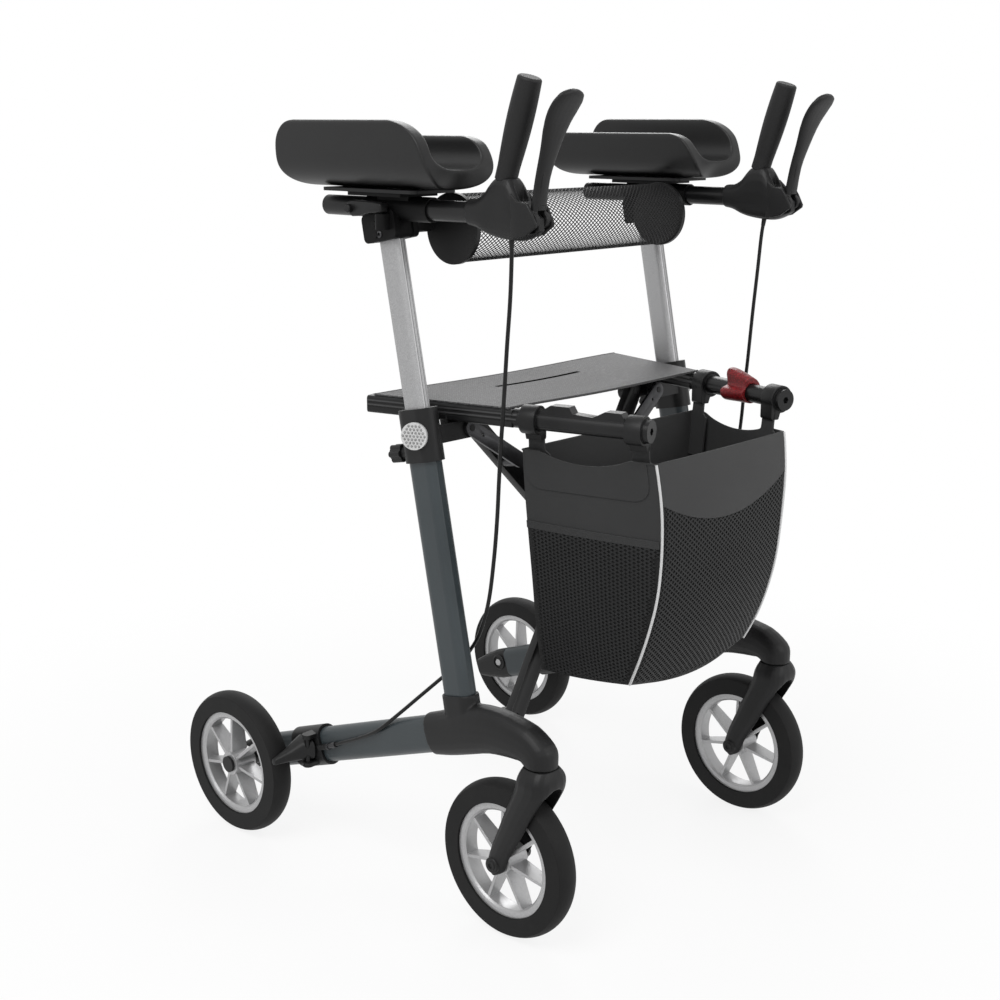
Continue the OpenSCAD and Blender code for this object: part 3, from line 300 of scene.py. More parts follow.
def tyre_rubber():
    """Soft dark tyres, with a dusty bloom on the tread and fine mould grain."""
    f = Finish("tyre_rubber", specular_ior_level=0.24)
    bloom = f.noise(24, 4, 0.65)
    fine = f.noise(1300, 3, 0.65)
    base = f.mix(bloom.rise(0.35, 0.8), (0.006, 0.006, 0.0062), (0.012, 0.0118, 0.0116))
    base = f.mix(fine.rise(0.66, 0.8) * 0.3, base, (0.04, 0.039, 0.038))
    normal = f.bump(fine + bloom * 0.4, 0.00007, f.edge_round(0.0016))
    return f.coat(base, 0.6 + 0.14 * bloom, normal)


def soft_skin(name, colour, rough, grain, depth):
    """A soft skin with a pebbled grain: the forearm pads and the hand grips."""
    f = Finish(name, specular_ior_level=0.3)
    cloud = f.noise(9, 3)
    pebble = f.cells(grain, feature="SMOOTH_F1")
    fine = f.noise(grain * 3, 2)
    base = f.mix(cloud.rise(0.3, 0.7), shade(colour, 0.85), shade(colour, 1.15))
    base = f.mix(pebble.rise(0.35, 0.75) * 0.3, base, shade(colour, 0.55))
    height = 1 - pebble + 0.25 * fine
    return f.coat(base, rough + 0.1 * cloud + 0.06 * fine, f.bump(height, depth))


def prism(name, light, dark):
    """Clear reflector moulding, broken up by tiny prisms."""
    f = Finish(name, specular_ior_level=0.6)
    facets = f.cells(620)
    base = f.mix(facets.rise(0.1, 0.6), light, dark)
    return f.coat(base, 0.16 + 0.2 * facets, f.bump(facets, 0.00006), **{"Coat Weight": 0.5})


def red_gloss():
    """Red latch moulding with a knurl for the thumb and a faint flow mark."""
    f = Finish("red_latch", specular_ior_level=0.32)
    flow = f.noise(70, 3)
    fine = f.noise(1500, 2)
    base = f.mix(flow.rise(0.3, 0.7), (0.21, 0.011, 0.015), (0.29, 0.017, 0.022))
    knurl = f.cells(430)
    base = f.mix(knurl.rise(0.3, 0.55) * 0.62, base, (0.07, 0.005, 0.006))
    return f.coat(base, 0.28 + 0.14 * flow, f.bump(fine * 0.2 - knurl, 0.0003, f.edge_round(0.0012)))


def jacket():
    """Smooth cable jacket with faint lines across it."""
    f = Finish("cable_jacket", specular_ior_level=0.25)
    line = f.noise(500, 1, 0.5, f.stretched(0.2, 0.2, 1))
    base = f.mix(line.rise(0.4, 0.7), (0.004, 0.004, 0.0042), (0.008, 0.008, 0.0082))
    return f.coat(base, 0.3 + 0.15 * line, f.bump(line, 0.00003))


def cut_axes(f):
    """Across and up on a cloth's flat cut, in millimetres."""
    place = f.add("ShaderNodeUVMap", {"uv_map": "cut"})
    return f.along(place, "X") * MM, f.along(place, "Y") * MM


def weave(f, across, up, pitch):
    """A plain weave: threads over and under, as a height from 0 to 1."""
    turn = math.pi / pitch
    warp = abs((across * turn).sine())
    weft = abs((up * turn).sine())
    over = ((across * turn).sine() * (up * turn).sine()).rise(-0.15, 0.15)
    return over * warp + (1 - over) * weft


def woven(name, low, high, pitch, rough, depth, specular=0.3, sheen=0.2, net_edge=None):
    """Woven cloth. Below net_edge, a function of the way across, it is painted near black as the shade seen
    through a net's holes.
    """
    f = Finish(name, specular_ior_level=specular, sheen_weight=sheen, sheen_roughness=0.5)
    across, up = cut_axes(f)
    thread = weave(f, across, up, pitch)
    cloud = f.noise(12, 3)
    base = f.mix(thread, low, high)
    base = f.mix(cloud.rise(0.35, 0.75) * 0.35, base, shade(low, 0.9))
    if net_edge:
        # Painted shade: near black under the net, where the bag's inside shows through the holes
        base = f.mix((net_edge(across / MM) * MM - up).rise(-0.6, 0.6), base, (0.0015, 0.0015, 0.0016))
    return f.coat(base, rough + 0.12 * thread, f.bump(thread, depth))


def speckled(name, scale, low, high, rough, **fixed):
    """A cord or a knit, broken up by fine fibres."""
    f = Finish(name, **fixed)
    fibre = f.noise(scale, 2)
    return f.coat(f.mix(fibre, low, high), rough + 0.2 * fibre, f.bump(fibre, 0.0001))


FINISHES = {
    "anthracite": powder_coat(),
    "silver": anodised(),
    "cast_black": moulded("cast_black", (0.0095, 0.0095, 0.0098), 0.42, 1100, 0.00005, 0.0008),
    "black_plastic": moulded("black_plastic", (0.0085, 0.0085, 0.0088), 0.41),
    "black_metal": black_coat("satin_black_coat"),
    "steel": zinc(),
    "rim": silver_moulding(),
    "tyre": tyre_rubber(),
    "grip": soft_skin("grip_skin", (0.011, 0.011, 0.0113), 0.5, 900, 0.00012),
    "pad": soft_skin("pad_skin", (0.010, 0.010, 0.0102), 0.33, 700, 0.00006),
    "reflector": prism("reflector_prism", (0.66, 0.66, 0.66), (0.58, 0.58, 0.58)),
    "cable": jacket(),
    "red": red_gloss(),
}
# Nodes whose finish differs from their slot's, without their side
OWN_FINISHES = {
    "seat_rail": black_coat("rail_black_coat", (631, 625.6)),
    "top_block": moulded("block_black", (0.005, 0.005, 0.0052), 0.5, specular=0.13),
}
slot_of = {part["node"]: part["material_slot"] for part in frame["record"]["subparts"]}
for name, obj in nodes.items():
    finish = OWN_FINISHES.get(name.partition("_")[2]) or FINISHES.get(slot_of[name])
    if finish:
        if not obj.material_slots:
            obj.data.materials.append(finish.material)
        for each in obj.material_slots:
            each.material = finish.material


# Helpers for sizes

def steps(low, high, count):
    return [low + (high - low) * k / count for k in range(count + 1)]


def turns(count):
    return [2 * math.pi * k / count for k in range(count)]


def between(low, high, share):
    return low + (high - low) * share


def held(value):
    """A value kept from 0 to 1."""
    return min(max(value, 0.0), 1.0)


def smooth(t):
    return t * t * (3 - 2 * t)


def round_off(share):
    """How far a quarter circle falls away: 1 at its edge, and 0 from its radius on."""
    return 1 - math.sqrt(1 - (1 - held(share)) ** 2)


def spline(points, count):
    """A smooth way through points, as the cable's route in the part's source."""
    way = []
    last = len(points) - 1
    for i in range(last):
        a, b, c, d = (Vector(points[min(max(k, 0), last)]) for k in (i - 1, i, i + 1, i + 2))
        for k in range(count):
            t = k / count
            bend = (2 * a - 5 * b + 4 * c - d) + t * (3 * b - a - 3 * c + d)
            way.append(b + t / 2 * ((c - a) + t * bend))
    return way + [Vector(points[last])]


# Helpers for shapes

def linked(name, data):
    obj = bpy.data.objects.new(name, data)
    scene.collection.objects.link(obj)
    return obj


def shaded(mesh, angle):
    """Shades a mesh smooth, apart from edges sharper than an angle in degrees."""
    for face in mesh.polygons:
        face.use_smooth = True
    mesh.set_sharp_from_angle(angle=math.radians(angle))
    return mesh


def settle(obj, angle):
    """Turns an object's modifiers into its plain mesh."""
    bpy.context.view_layer.update()
    graph = bpy.context.evaluated_depsgraph_get()
    mesh = bpy.data.meshes.new_from_object(obj.evaluated_get(graph))
    old = obj.data
    obj.modifiers.clear()
    obj.data = mesh
    mesh.name = obj.name
    if old.users == 0:
        bpy.data.meshes.remove(old)
    shaded(mesh, angle)
    return obj


def built(name, points, faces, cuts=None):
    """A mesh of points and faces. Cuts are the points' places on the flat cloth, its UV map."""
    mesh = bpy.data.meshes.new(name)
    mesh.from_pydata(points, [], faces)
    if cuts:
        layer = mesh.uv_layers.new(name="cut")
        for loop in mesh.loops:
            layer.data[loop.index].uv = cuts[loop.vertex_index]
    return mesh


def grid(name, rows, cut=None, wrap=False):
    """A mesh over rows of points. Cut gives a point's place on the flat cloth."""
    count = len(rows[0])
    points = [p for row in rows for p in row]
    faces = [
        (i * count + j, i * count + (j + 1) % count, (i + 1) * count + (j + 1) % count, (i + 1) * count + j)
        for i in range(len(rows) - 1) for j in range(count if wrap else count - 1)
    ]
    return built(name, points, faces, [cut(p) for p in points] if cut else None)


def join(name, meshes, merge=None):
    """One mesh of several, with outward faces. Points closer than merge become one."""
    whole = bmesh.new()
    for mesh in meshes:
        whole.from_mesh(mesh)
        bpy.data.meshes.remove(mesh)
    if merge:
        bmesh.ops.remove_doubles(whole, verts=whole.verts, dist=merge)
    bmesh.ops.recalc_face_normals(whole, faces=whole.faces)
    mesh = bpy.data.meshes.new(name)
    whole.to_mesh(mesh)
    whole.free()
    return mesh


def capped(mesh, angle):
    """Closes a mesh's open ends and shades it."""
    closed = bmesh.new()
    closed.from_mesh(mesh)
    bmesh.ops.holes_fill(closed, edges=[e for e in closed.edges if e.is_boundary], sides=0)
    bmesh.ops.recalc_face_normals(closed, faces=closed.faces)
    closed.to_mesh(mesh)
    closed.free()
    return shaded(mesh, angle)


def outward(mesh, way):
    """Turns a patch so that its first face looks along way."""
    if mesh.polygons[0].normal.dot(Vector(way)) < 0:
        mesh.flip_normals()
    return mesh


def thicken(obj, thickness, offset=-1.0):
    mod = obj.modifiers.new("thickness", "SOLIDIFY")
    mod.thickness, mod.offset, mod.use_even_offset = thickness, offset, True


def round_edges(obj, width, segments, angle=50):
    bevel = obj.modifiers.new("edges", "BEVEL")
    bevel.width, bevel.segments, bevel.limit_method = width, segments, "ANGLE"
    bevel.angle_limit = math.radians(angle)
    return settle(obj, 35)


# A way that no tube follows, from which the first ring of a tube is turned
FIRST_SIDE = Vector((0.31, 0.83, 0.47))


def tube(name, way, radius, sides=12):
    """A closed tube along a way. The radius is one number, or one for each point."""
    radii = [radius] * len(way) if isinstance(radius, float) else radius
    side = FIRST_SIDE
    rings = []
    for i, point in enumerate(way):
        along = (way[min(i + 1, len(way) - 1)] - way[max(i - 1, 0)]).normalized()
        side = (side - along * side.dot(along)).normalized()
        other = along.cross(side)
        rings.append([point + radii[i] * (math.cos(a) * side + math.sin(a) * other) for a in turns(sides)])
    return capped(grid(name, rings, wrap=True), 50)


def turned(name, at, way, profile, sides=28):
    """A turned piece on an axis along x: pairs of the way along it and the radius."""
    rings = [
        [(at[0] + way * x, at[1] + r * math.cos(a), at[2] + r * math.sin(a)) for a in turns(sides)]
        for x, r in profile
    ]
    return capped(grid(name, rings, wrap=True), 35)


def plate(name, outline, low, high):
    """A plate between two values of x over an outline of y and z."""
    count = len(outline)
    points = [(x, y, z) for x in (low, high) for y, z in outline]
    faces = [tuple(range(count)), tuple(range(2 * count - 1, count - 1, -1))]
    faces += [(k, k + count, (k + 1) % count + count, (k + 1) % count) for k in range(count)]
    return built(name, points, faces)


def dressed(obj, slot, body=None, replaces=None, finish=None):
    """Gives a finished piece its material, its slot's finish unless another is given, and its body, and hides
    the node that it stands for.
    """
    finish = finish or FINISHES[slot]
    obj.data.materials.clear()
    for each in finish if isinstance(finish, tuple) else [finish]:
        obj.data.materials.append(each.material)
    if body:
        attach(obj, body)
    if replaces:
        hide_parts(replaces)
    return obj


def gathered(obj, anchor, keep):
    """Gives a cloth its own copy of its mesh. Anchor, a place on x, is not used. Keep, the share of width
    that stays, is not used.
    """
    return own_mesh(obj)


def body_of(node):
    return nodes[node]["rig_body"]


class Shaper(Graph):
    """A Geometry Nodes tree with named sizes, whose result becomes an object's plain mesh."""

    def __init__(self, name, **sizes):
        super().__init__(bpy.data.node_groups.new(name, "GeometryNodeTree"))
        face = self.tree.interface
        face.new_socket(name="Geometry", in_out="INPUT", socket_type="NodeSocketGeometry")
        self.sizes = {}
        for size, value in sizes.items():
            socket = face.new_socket(name=size, in_out="INPUT", socket_type="NodeSocketFloat")
            socket.default_value = value
            self.sizes[size] = socket.identifier
        face.new_socket(name="Geometry", in_out="OUTPUT", socket_type="NodeSocketGeometry")
        self.start = self.add("NodeGroupInput")

    def end(self, geometry, finish):
        geometry = self.add("GeometryNodeRealizeInstances", None, {0: geometry})
        geometry = self.add("GeometryNodeSetMaterial", None, {0: geometry, "Material": finish.material})
        self.add("NodeGroupOutput", None, {0: geometry})
        return self

    def on(self, obj, **sizes):
        mod = obj.modifiers.new("shape", "NODES")
        mod.node_group = self.tree
        for size, value in sizes.items():
            mod[self.sizes[size]] = value
        return settle(obj, 60)


def dot_shaper(name, finish):
    """Small domes on every point of a mesh."""
    s = Shaper(name, Width=0.002)
    bead = s.add("GeometryNodeMeshIcoSphere", None, {"Radius": 0.5, "Subdivisions": 2})
    dots = s.add("GeometryNodeInstanceOnPoints", None, {
        "Points": s.start, "Instance": bead, "Scale": s.start.out("Width")
    })
    return s.end(dots, finish)


# Brake cables: each in two lengths, along its route from the handle down the column to the frame

CABLE_D = 0.0048
# The left cable's route in millimetres, as in the part's source, which the right one mirrors
CABLE_ROUTE = [
    (246, -226, 842), (244, -224, 820), (243, -221, 776), (243, -216, 720), (243, -211, 655),
    (243, -207, 610), (243, -204, 568), (241, -199, 519), (237, -190, 468), (231, -176, 414),
    (226, -158, 371), (224, -140, 343), (226, -118, 316), (233, -95, 294), (245, -68, 266),
    (256, -36, 234), (263, -7, 208), (264, 26, 189), (264, 55, 175), (263, 86, 160),
    (263, 92, 157),
]
CABLE_STEPS = 6
CABLE_SPLIT = 4 * CABLE_STEPS
SLEEVE_RISE = 0.004
SLEEVE_RADII = (0.0032, 0.0032, 0.003, 0.0027)
# Pairs of the way from the adjuster's end and the radius there
ADJUSTER = (
    (0, 0.0046), (0.004, 0.0046), (0.0041, 0.0034), (0.012, 0.0034), (0.0121, 0.0042), (0.019, 0.0038),
)


def way_length(way):
    return sum((b - a).length for a, b in zip(way, way[1:]))


for side, s in SIDES:
    whole = spline([(s * x / MM, y / MM, z / MM) for x, y, z in CABLE_ROUTE], CABLE_STEPS)
    parts = (
        ("top", whole[:CABLE_SPLIT + 1], f"{side}_handle", f"{side}_column"),
        ("low", whole[CABLE_SPLIT:], f"{side}_column", f"{side}_frame"),
    )
    for part, way, first, second in parts:
        cable = linked(f"{side}_brake_cable_{part}", tube("cable", way, CABLE_D / 2))
        dressed(cable, "cable", None, f"{side}_brake_cable")
        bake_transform(cable)
        way_length(way)
    top, low = whole[0], whole[-1]
    sleeve = [top + Vector((0, 0, SLEEVE_RISE)), top, whole[1], whole[3]]
    sleeve = linked(f"{side}_cable_sleeve_top", tube("sleeve", sleeve, SLEEVE_RADII))
    dressed(sleeve, "black_plastic", f"{side}_handle")
    back = (whole[-CABLE_STEPS - 3] - low).normalized()
    adjuster = tube("adjuster", [low + back * d for d, r in ADJUSTER], [r for d, r in ADJUSTER])
    dressed(linked(f"{side}_cable_adjuster", adjuster), "steel", f"{side}_frame")


# Forearm pads: a thick trough with a flat rim and round edges

PAD_LENGTH, PAD_HALF, PAD_WALL, PAD_FLOOR = 0.275, 0.058, 0.017, 0.023
PAD_HEIGHT, PAD_STEP, PAD_UNDER = 0.078, 0.018, 0.03
PAD_REAR_SHARE, PAD_TURN_SHARE = 0.41, 0.63
PAD_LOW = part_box("left_arm_pad")[0].z
PAD_REAR = PAD_REAR_SHARE * PAD_LENGTH
PAD_FRONT = PAD_REAR - PAD_LENGTH
PAD_TURN = PAD_LOW + PAD_TURN_SHARE * PAD_HEIGHT
# A round trough has the power 1, and a squarer one less
PAD_POWER = 0.75
# Shares of the length that an end leans and that its outer and inner wall are rounded off,
# and the shares of the height over which they are
PAD_FRONT_SWEEP = (0.07, 0.22, 0.15, 0.53, 0.33)
PAD_REAR_SWEEP = (0.012, 0.11, 0.11, 0.4, 0.4)
# Rim, from its flat top over the round edge to the wall: inwards, down
PAD_RIM = ((0.0055, 0), (0.0012, 0.0009), (0, 0.005))
PAD_STATIONS = (0, 0.02, 0.05, 0.12, 0.22, 0.34, 0.46, 0.58, 0.7, 0.8, 0.89, 0.95, 0.98, 1)
PAD_CAP_SHARES = (0, 0.25, 0.75, 1)
PAD_MERGE = 0.00001


def pad_sweep(x, z, shares):
    """How far an end of a pad is swept back at a point of its section."""
    out = x > 0
    top = PAD_LOW + PAD_HEIGHT - (0 if out else PAD_STEP)
    reach = PAD_LENGTH * shares[1 if out else 2]
    height = PAD_HEIGHT * shares[3 if out else 4]
    lean = PAD_LENGTH * shares[0] * min(1.0, 2 * (z - PAD_LOW) / PAD_HEIGHT)
    return lean + reach * round_off((top - z) / height) + PAD_UNDER * round_off((z - PAD_LOW) / PAD_UNDER)


def pad_skin(half, floor, way):
    """One skin of a pad from the outer rim down under the arm and up to the inner rim."""
    high = PAD_LOW + PAD_HEIGHT
    low = high - PAD_STEP
    points = [(half - way * x, high - z) for x, z in PAD_RIM]
    wall = high - PAD_RIM[-1][1]
    points += [(half, between(wall, PAD_TURN, k / 3)) for k in (1, 2)]
    for a in steps(0, math.pi, 14):
        c, b = math.cos(a), math.sin(a)
        x = half * math.copysign(abs(c) ** PAD_POWER, c)
        points.append((x, between(PAD_TURN, floor, max(b, 0.0) ** PAD_POWER)))
    return points + [(-half + way * x, low - z) for x, z in reversed(PAD_RIM)]


def pad_row(s, section, t):
    """A pad's section at a share t of the way from its front to its rear."""
    ends = [
        (PAD_FRONT + pad_sweep(x, z, PAD_FRONT_SWEEP), PAD_REAR - pad_sweep(x, z, PAD_REAR_SWEEP))
        for x, z in section
    ]
    return [Vector((s * (COLUMN_X + x), between(*end, t), z)) for (x, z), end in zip(section, ends)]


for side, s in SIDES:
    outer = pad_skin(PAD_HALF, PAD_LOW, 1)
    inner = pad_skin(PAD_HALF - PAD_WALL, PAD_LOW + PAD_FLOOR, -1)
    rows = [pad_row(s, outer + inner[::-1], t) for t in PAD_STATIONS]
    caps = []
    for row in (rows[0], rows[-1]):
        pairs = list(zip(row, row[::-1]))[:len(outer)]
        caps.append(grid("cap", [[a.lerp(b, share) for a, b in pairs] for share in PAD_CAP_SHARES]))
    pad = linked(f"{side}_forearm_pad", join("pad", [grid("pad", rows, wrap=True)] + caps, PAD_MERGE))
    mod = pad.modifiers.new("round", "SUBSURF")
    mod.levels = mod.render_levels = 2
    dressed(settle(pad, 180), "pad", f"{side}_forearm", f"{side}_arm_pad")


# Rails, and the cloth that they carry

RAIL_X, RAIL_Y, RAIL_Z, RAIL_TOE = 0.229, 0.027, 0.62776, math.radians(14)
RAIL_LENGTH = 0.38
UP = Vector((0, 0, 1))


def rail_x(y):
    return RAIL_X - (RAIL_Y - y) * math.tan(RAIL_TOE)


def rail_axes(s):
    """A rail's rear end, its way to the front and its way outwards."""
    along = Vector((-s * math.sin(RAIL_TOE), -math.cos(RAIL_TOE), 0))
    out = Vector((s * math.cos(RAIL_TOE), -math.sin(RAIL_TOE), 0))
    return Vector((s * RAIL_X, RAIL_Y, RAIL_Z)), along, out


# Seat: a stretched cloth, held along both rails, with hems at the front and rear, and a dark strip of painted
# shade where its pull slit is

SEAT_LOW, SEAT_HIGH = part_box("seat_cloth")
SEAT_REAR, SEAT_FRONT = SEAT_HIGH.y, SEAT_LOW.y
SEAT_OUT, SEAT_SAG, SEAT_THICK, SEAT_HEM = 0.008, 0.004, 0.0018, 0.016
SEAT_Z = SEAT_LOW.z + SEAT_THICK
SEAT_COLUMNS, SEAT_ROWS = 48, 24
# How far inside a rail's axis the cloth leaves it, and the edge over which the sag grows from a share
SEAT_FLAT, SEAT_EDGE, SEAT_EDGE_SHARE = 0.0115, 0.05, 0.55
SEAT_GATHER = (0.203, 0.463)
HEM_R, HEM_INSET, HEM_DROP = 0.0017, 0.0016, 0.001
SLIT_Y, SLIT_HALF, SLIT_WIDTH, SLIT_RISE, SLIT_THICK = -0.047, 0.081, 0.0062, 0.0003, 0.0006


def seat_half(y):
    return rail_x(y) + SEAT_OUT


def seat_point(u, y, rise=0.0):
    """A point of the seat's top: u goes from -1 on the right to 1 on the left."""
    flat = (rail_x(y) - SEAT_FLAT) / seat_half(y)
    dip = SEAT_SAG * (1 - (abs(u) / flat) ** 2) ** 2 if abs(u) < flat else 0
    edge = held((y - SEAT_FRONT) / SEAT_EDGE) * held((SEAT_REAR - y) / SEAT_EDGE)
    return Vector((u * seat_half(y), y, SEAT_Z + rise - dip * between(SEAT_EDGE_SHARE, 1, smooth(edge))))


def flat_cut(p):
    return p.x, p.y


def seat_weave():
    """Coarse woven seat cloth with stitched hems."""
    f = Finish("seat_weave", specular_ior_level=0.26, sheen_weight=0.05, sheen_roughness=0.5)
    across, up = cut_axes(f)
    thread = weave(f, across, up, 1.9)
    cloud = f.noise(14, 3)
    fleck = f.noise(300, 3, 0.7)
    base = f.mix(thread, (0.024, 0.024, 0.0245), (0.086, 0.086, 0.088))
    base = f.mix(fleck.rise(0.5, 0.7) * 0.7, base, (0.19, 0.19, 0.192))
    base = f.mix(cloud.rise(0.35, 0.75) * 0.25, base, (0.05, 0.05, 0.051))
    dash = (across * (math.pi / 2.2)).sine().rise(-0.3, 0.3)
    seam = 0.0
    for place in (SEAT_FRONT + SEAT_HEM, SEAT_REAR - SEAT_HEM):
        seam = seam + (1 - abs(up - place * MM).rise(0.4, 0.9)) * dash
    base = f.mix(seam * 0.75, base, (0.03, 0.03, 0.0305))
    return f.coat(base, 0.5 + 0.12 * thread, f.bump(thread, 0.00016))


def slit_painted_shade():
    """Painted shade for the seat's pull slit: a near-black finish that shines nowhere."""
    f = Finish("seat_slit_edge", specular_ior_level=0.0, roughness=0.9)
    return f.coat(f.mix(f.noise(500, 2), (0.003, 0.003, 0.003), (0.009, 0.009, 0.009)))


def on_seat(obj, finish, replaces=None):
    return gathered(dressed(obj, "seat_cloth", "left_rail", replaces, finish), *SEAT_GATHER)


seat_rows = [
    [seat_point(u, y) for u in steps(-1, 1, SEAT_COLUMNS)] for y in steps(SEAT_FRONT, SEAT_REAR, SEAT_ROWS)
]
seat = linked("seat_panel", grid("seat", seat_rows, flat_cut))
thicken(seat, SEAT_THICK)
on_seat(settle(seat, 50), seat_weave(), "seat_cloth")
# Painted shade: a thin dark strip laid just over the cloth where the pull slit opens
slit_rows = [
    [seat_point(x / seat_half(y), y, SLIT_RISE) for x in steps(-SLIT_HALF, SLIT_HALF, 24)]
    for y in steps(SLIT_Y - SLIT_WIDTH / 2, SLIT_Y + SLIT_WIDTH / 2, 2)
]
slit = linked("seat_pull_slit_shade", outward(grid("slit", slit_rows), UP))
thicken(slit, SLIT_THICK)
seat_pieces = [on_seat(settle(slit, 50), slit_painted_shade())]
hem_grey = woven("seat_hem", (0.06, 0.06, 0.061), (0.1, 0.1, 0.101), 0.9, 0.55, 0.0001)
for name, y in (("front", SEAT_FRONT + HEM_INSET), ("rear", SEAT_REAR - HEM_INSET)):
    way = [seat_point(u, y, -HEM_DROP) for u in steps(-1, 1, 40)]
    seat_pieces.append(on_seat(linked(f"seat_{name}_hem", tube("hem", way, HEM_R, 10)), hem_grey))
SEAT_AREA = (SEAT_REAR - SEAT_FRONT) * (rail_x(SEAT_REAR) + rail_x(SEAT_FRONT) + 2 * SEAT_OUT)
2 * (rail_x(SEAT_REAR) + SEAT_OUT)


# Bag: a sewn shell that hangs from the rails, smooth above and net below

BAG_HEIGHT, BAG_DEPTH, BAG_REAR, BAG_INSET = 0.287, 0.168, -0.176, 0.006
BAG_HANG, BAG_FRONT_RISE, BAG_REAR_DROP = 0.039, 0.006, 0.001
BAG_TOP = RAIL_Z - BAG_HANG
BAG_LOW = BAG_TOP - BAG_HEIGHT
BAG_FRONT_LOW, BAG_REAR_LOW = BAG_LOW + BAG_FRONT_RISE, BAG_LOW - BAG_REAR_DROP
BAG_SIDE_BULGE, BAG_FRONT_BULGE, BAG_REAR_BULGE, BAG_BULGE_LOSS = 0.004, 0.011, 0.004, 0.75
BAG_SAG, BAG_SIDE_SAG, BAG_CLOTH, BAG_MERGE = 0.013, 0.003, 0.0016, 0.00002
BAG_GATHER = (0.150, 0.273)
# The dip of a side's top edge, and the shares of the depth between which it lies
BAG_DIP, DIP_FROM, DIP_TO, DIP_POWER = 0.012, 0.14, 0.8, 0.7
# Heights at which the nets end, and how the front's edge rises to its seams and a side's to the rear
FRONT_EDGE, FRONT_EDGE_RISE, FRONT_EDGE_HALF = 0.5075, 0.032, 0.125
SIDE_EDGE, SIDE_EDGE_SLOPE = 0.491, 0.018
# Height, depth, half width at the front and half width at the rear, as shares
BAG_SHARES = (
    (0, 0.735, 0.90, 0.785), (0.05, 0.78, 0.92, 0.805), (0.12, 0.84, 0.938, 0.828), (0.21, 0.90, 0.945, 0.85),
    (0.30, 0.95, 0.945, 0.868), (0.44, 1.01, 0.942, 0.895), (0.62, 1.037, 0.945, 0.935),
    (0.80, 1.045, 0.97, 0.972), (0.92, 1.025, 0.99, 0.99), (1, 1, 1, 1),
)
# How far a turn of that table is rounded
BAG_EASE = 0.07


def bag_share(h, column):
    """A share at a height, rounded a little where the table turns."""
    def straight(at):
        at = held(at)
        for a, b in zip(BAG_SHARES, BAG_SHARES[1:]):
            if at <= b[0]:
                return between(a[column], b[column], (at - a[0]) / (b[0] - a[0]))
        return BAG_SHARES[-1][column]
    ease = min(BAG_EASE, h, 1 - h)
    return sum(straight(h + ease * k / 3) for k in range(-3, 4)) / 7


def height_share(z):
    return held((z - BAG_LOW) / BAG_HEIGHT)


def bag_widths(z):
    """Half width at the front, half width at the rear and the depth, at a height."""
    h = height_share(z)
    narrow = (rail_x(BAG_REAR - BAG_DEPTH) - BAG_INSET) * bag_share(h, 2)
    wide = (rail_x(BAG_REAR) - BAG_INSET) * bag_share(h, 3)
    return narrow, wide, BAG_DEPTH * bag_share(h, 1)


def bag_side(s, t, z, out=0.0):
    """A point of a side panel: t from the rear to the front seam."""
    narrow, wide, depth = bag_widths(z)
    bulge = BAG_SIDE_BULGE * math.sin(math.pi * t) * math.sin(math.pi * height_share(z))
    return Vector((s * (between(wide, narrow, t) + bulge + out), BAG_REAR - depth * t, z))


def side_top(t):
    return BAG_TOP - BAG_DIP * math.sin(math.pi * held((t - DIP_FROM) / (DIP_TO - DIP_FROM))) ** DIP_POWER


def side_low(t):
    return between(BAG_REAR_LOW, BAG_FRONT_LOW, t) - BAG_SIDE_SAG * math.sin(math.pi * t)


def bag_front(u, z, out=0.0):
    """A point of the front panel: u from -1 on the right seam to 1 on the left one."""
    narrow, wide, depth = bag_widths(z)
    bulge = BAG_FRONT_BULGE * (1 - u * u) * (1 - BAG_BULGE_LOSS * smooth(height_share(z)))
    return Vector((u * narrow, BAG_REAR - depth - bulge - out, z))


def front_low(u):
    return BAG_FRONT_LOW - BAG_SAG * (1 - u * u)


def bag_rear(u, z):
    bulge = BAG_REAR_BULGE * (1 - u * u) * math.sin(math.pi * height_share(z))
    return Vector((u * bag_widths(z)[1], BAG_REAR - bulge, z))


def bag_bottom(u, v):
    """A point of the bottom, from the front seam to the rear one, that meets both sides."""
    def plain(u):
        return bag_front(u, front_low(u)).lerp(bag_rear(u, BAG_REAR_LOW), v)
    right, left = (bag_side(s, 1 - v, side_low(1 - v)) - plain(s) for side, s in SIDES)
    return plain(u) + right.lerp(left, (1 + u) / 2)


def front_edge(x):
    """Height at which the front's net ends under the smooth panel."""
    return FRONT_EDGE + FRONT_EDGE_RISE * (x / FRONT_EDGE_HALF) ** 2


def side_edge(y):
    return SIDE_EDGE + SIDE_EDGE_SLOPE * (y - BAG_REAR)


def front_cut(p):
    return p.x, p.z


def side_cut(p):
    return p.y, p.z


def patch(name, place, cut, across, up):
    """A mesh over place(a, v), with a and v from the lists, and its flat cut."""
    return grid(name, [[place(a, v) for a in across] for v in up], cut)


def side_panel(s):
    return patch(
        "side", lambda t, v: bag_side(s, t, between(side_low(t), side_top(t), v)), side_cut,
        steps(0, 1, 24), BAG_UP
    )


BAG_UP = [0, 0.012, 0.03, 0.05, 0.08] + steps(0.12, 1, 22)
BAG_ACROSS = steps(-1, 1, 32)
CLOTH = ((0.0165, 0.0167, 0.017), (0.028, 0.0283, 0.0287), 0.8, 0.62, 0.00008)
cloth_plain = woven("bag_cloth", *CLOTH)
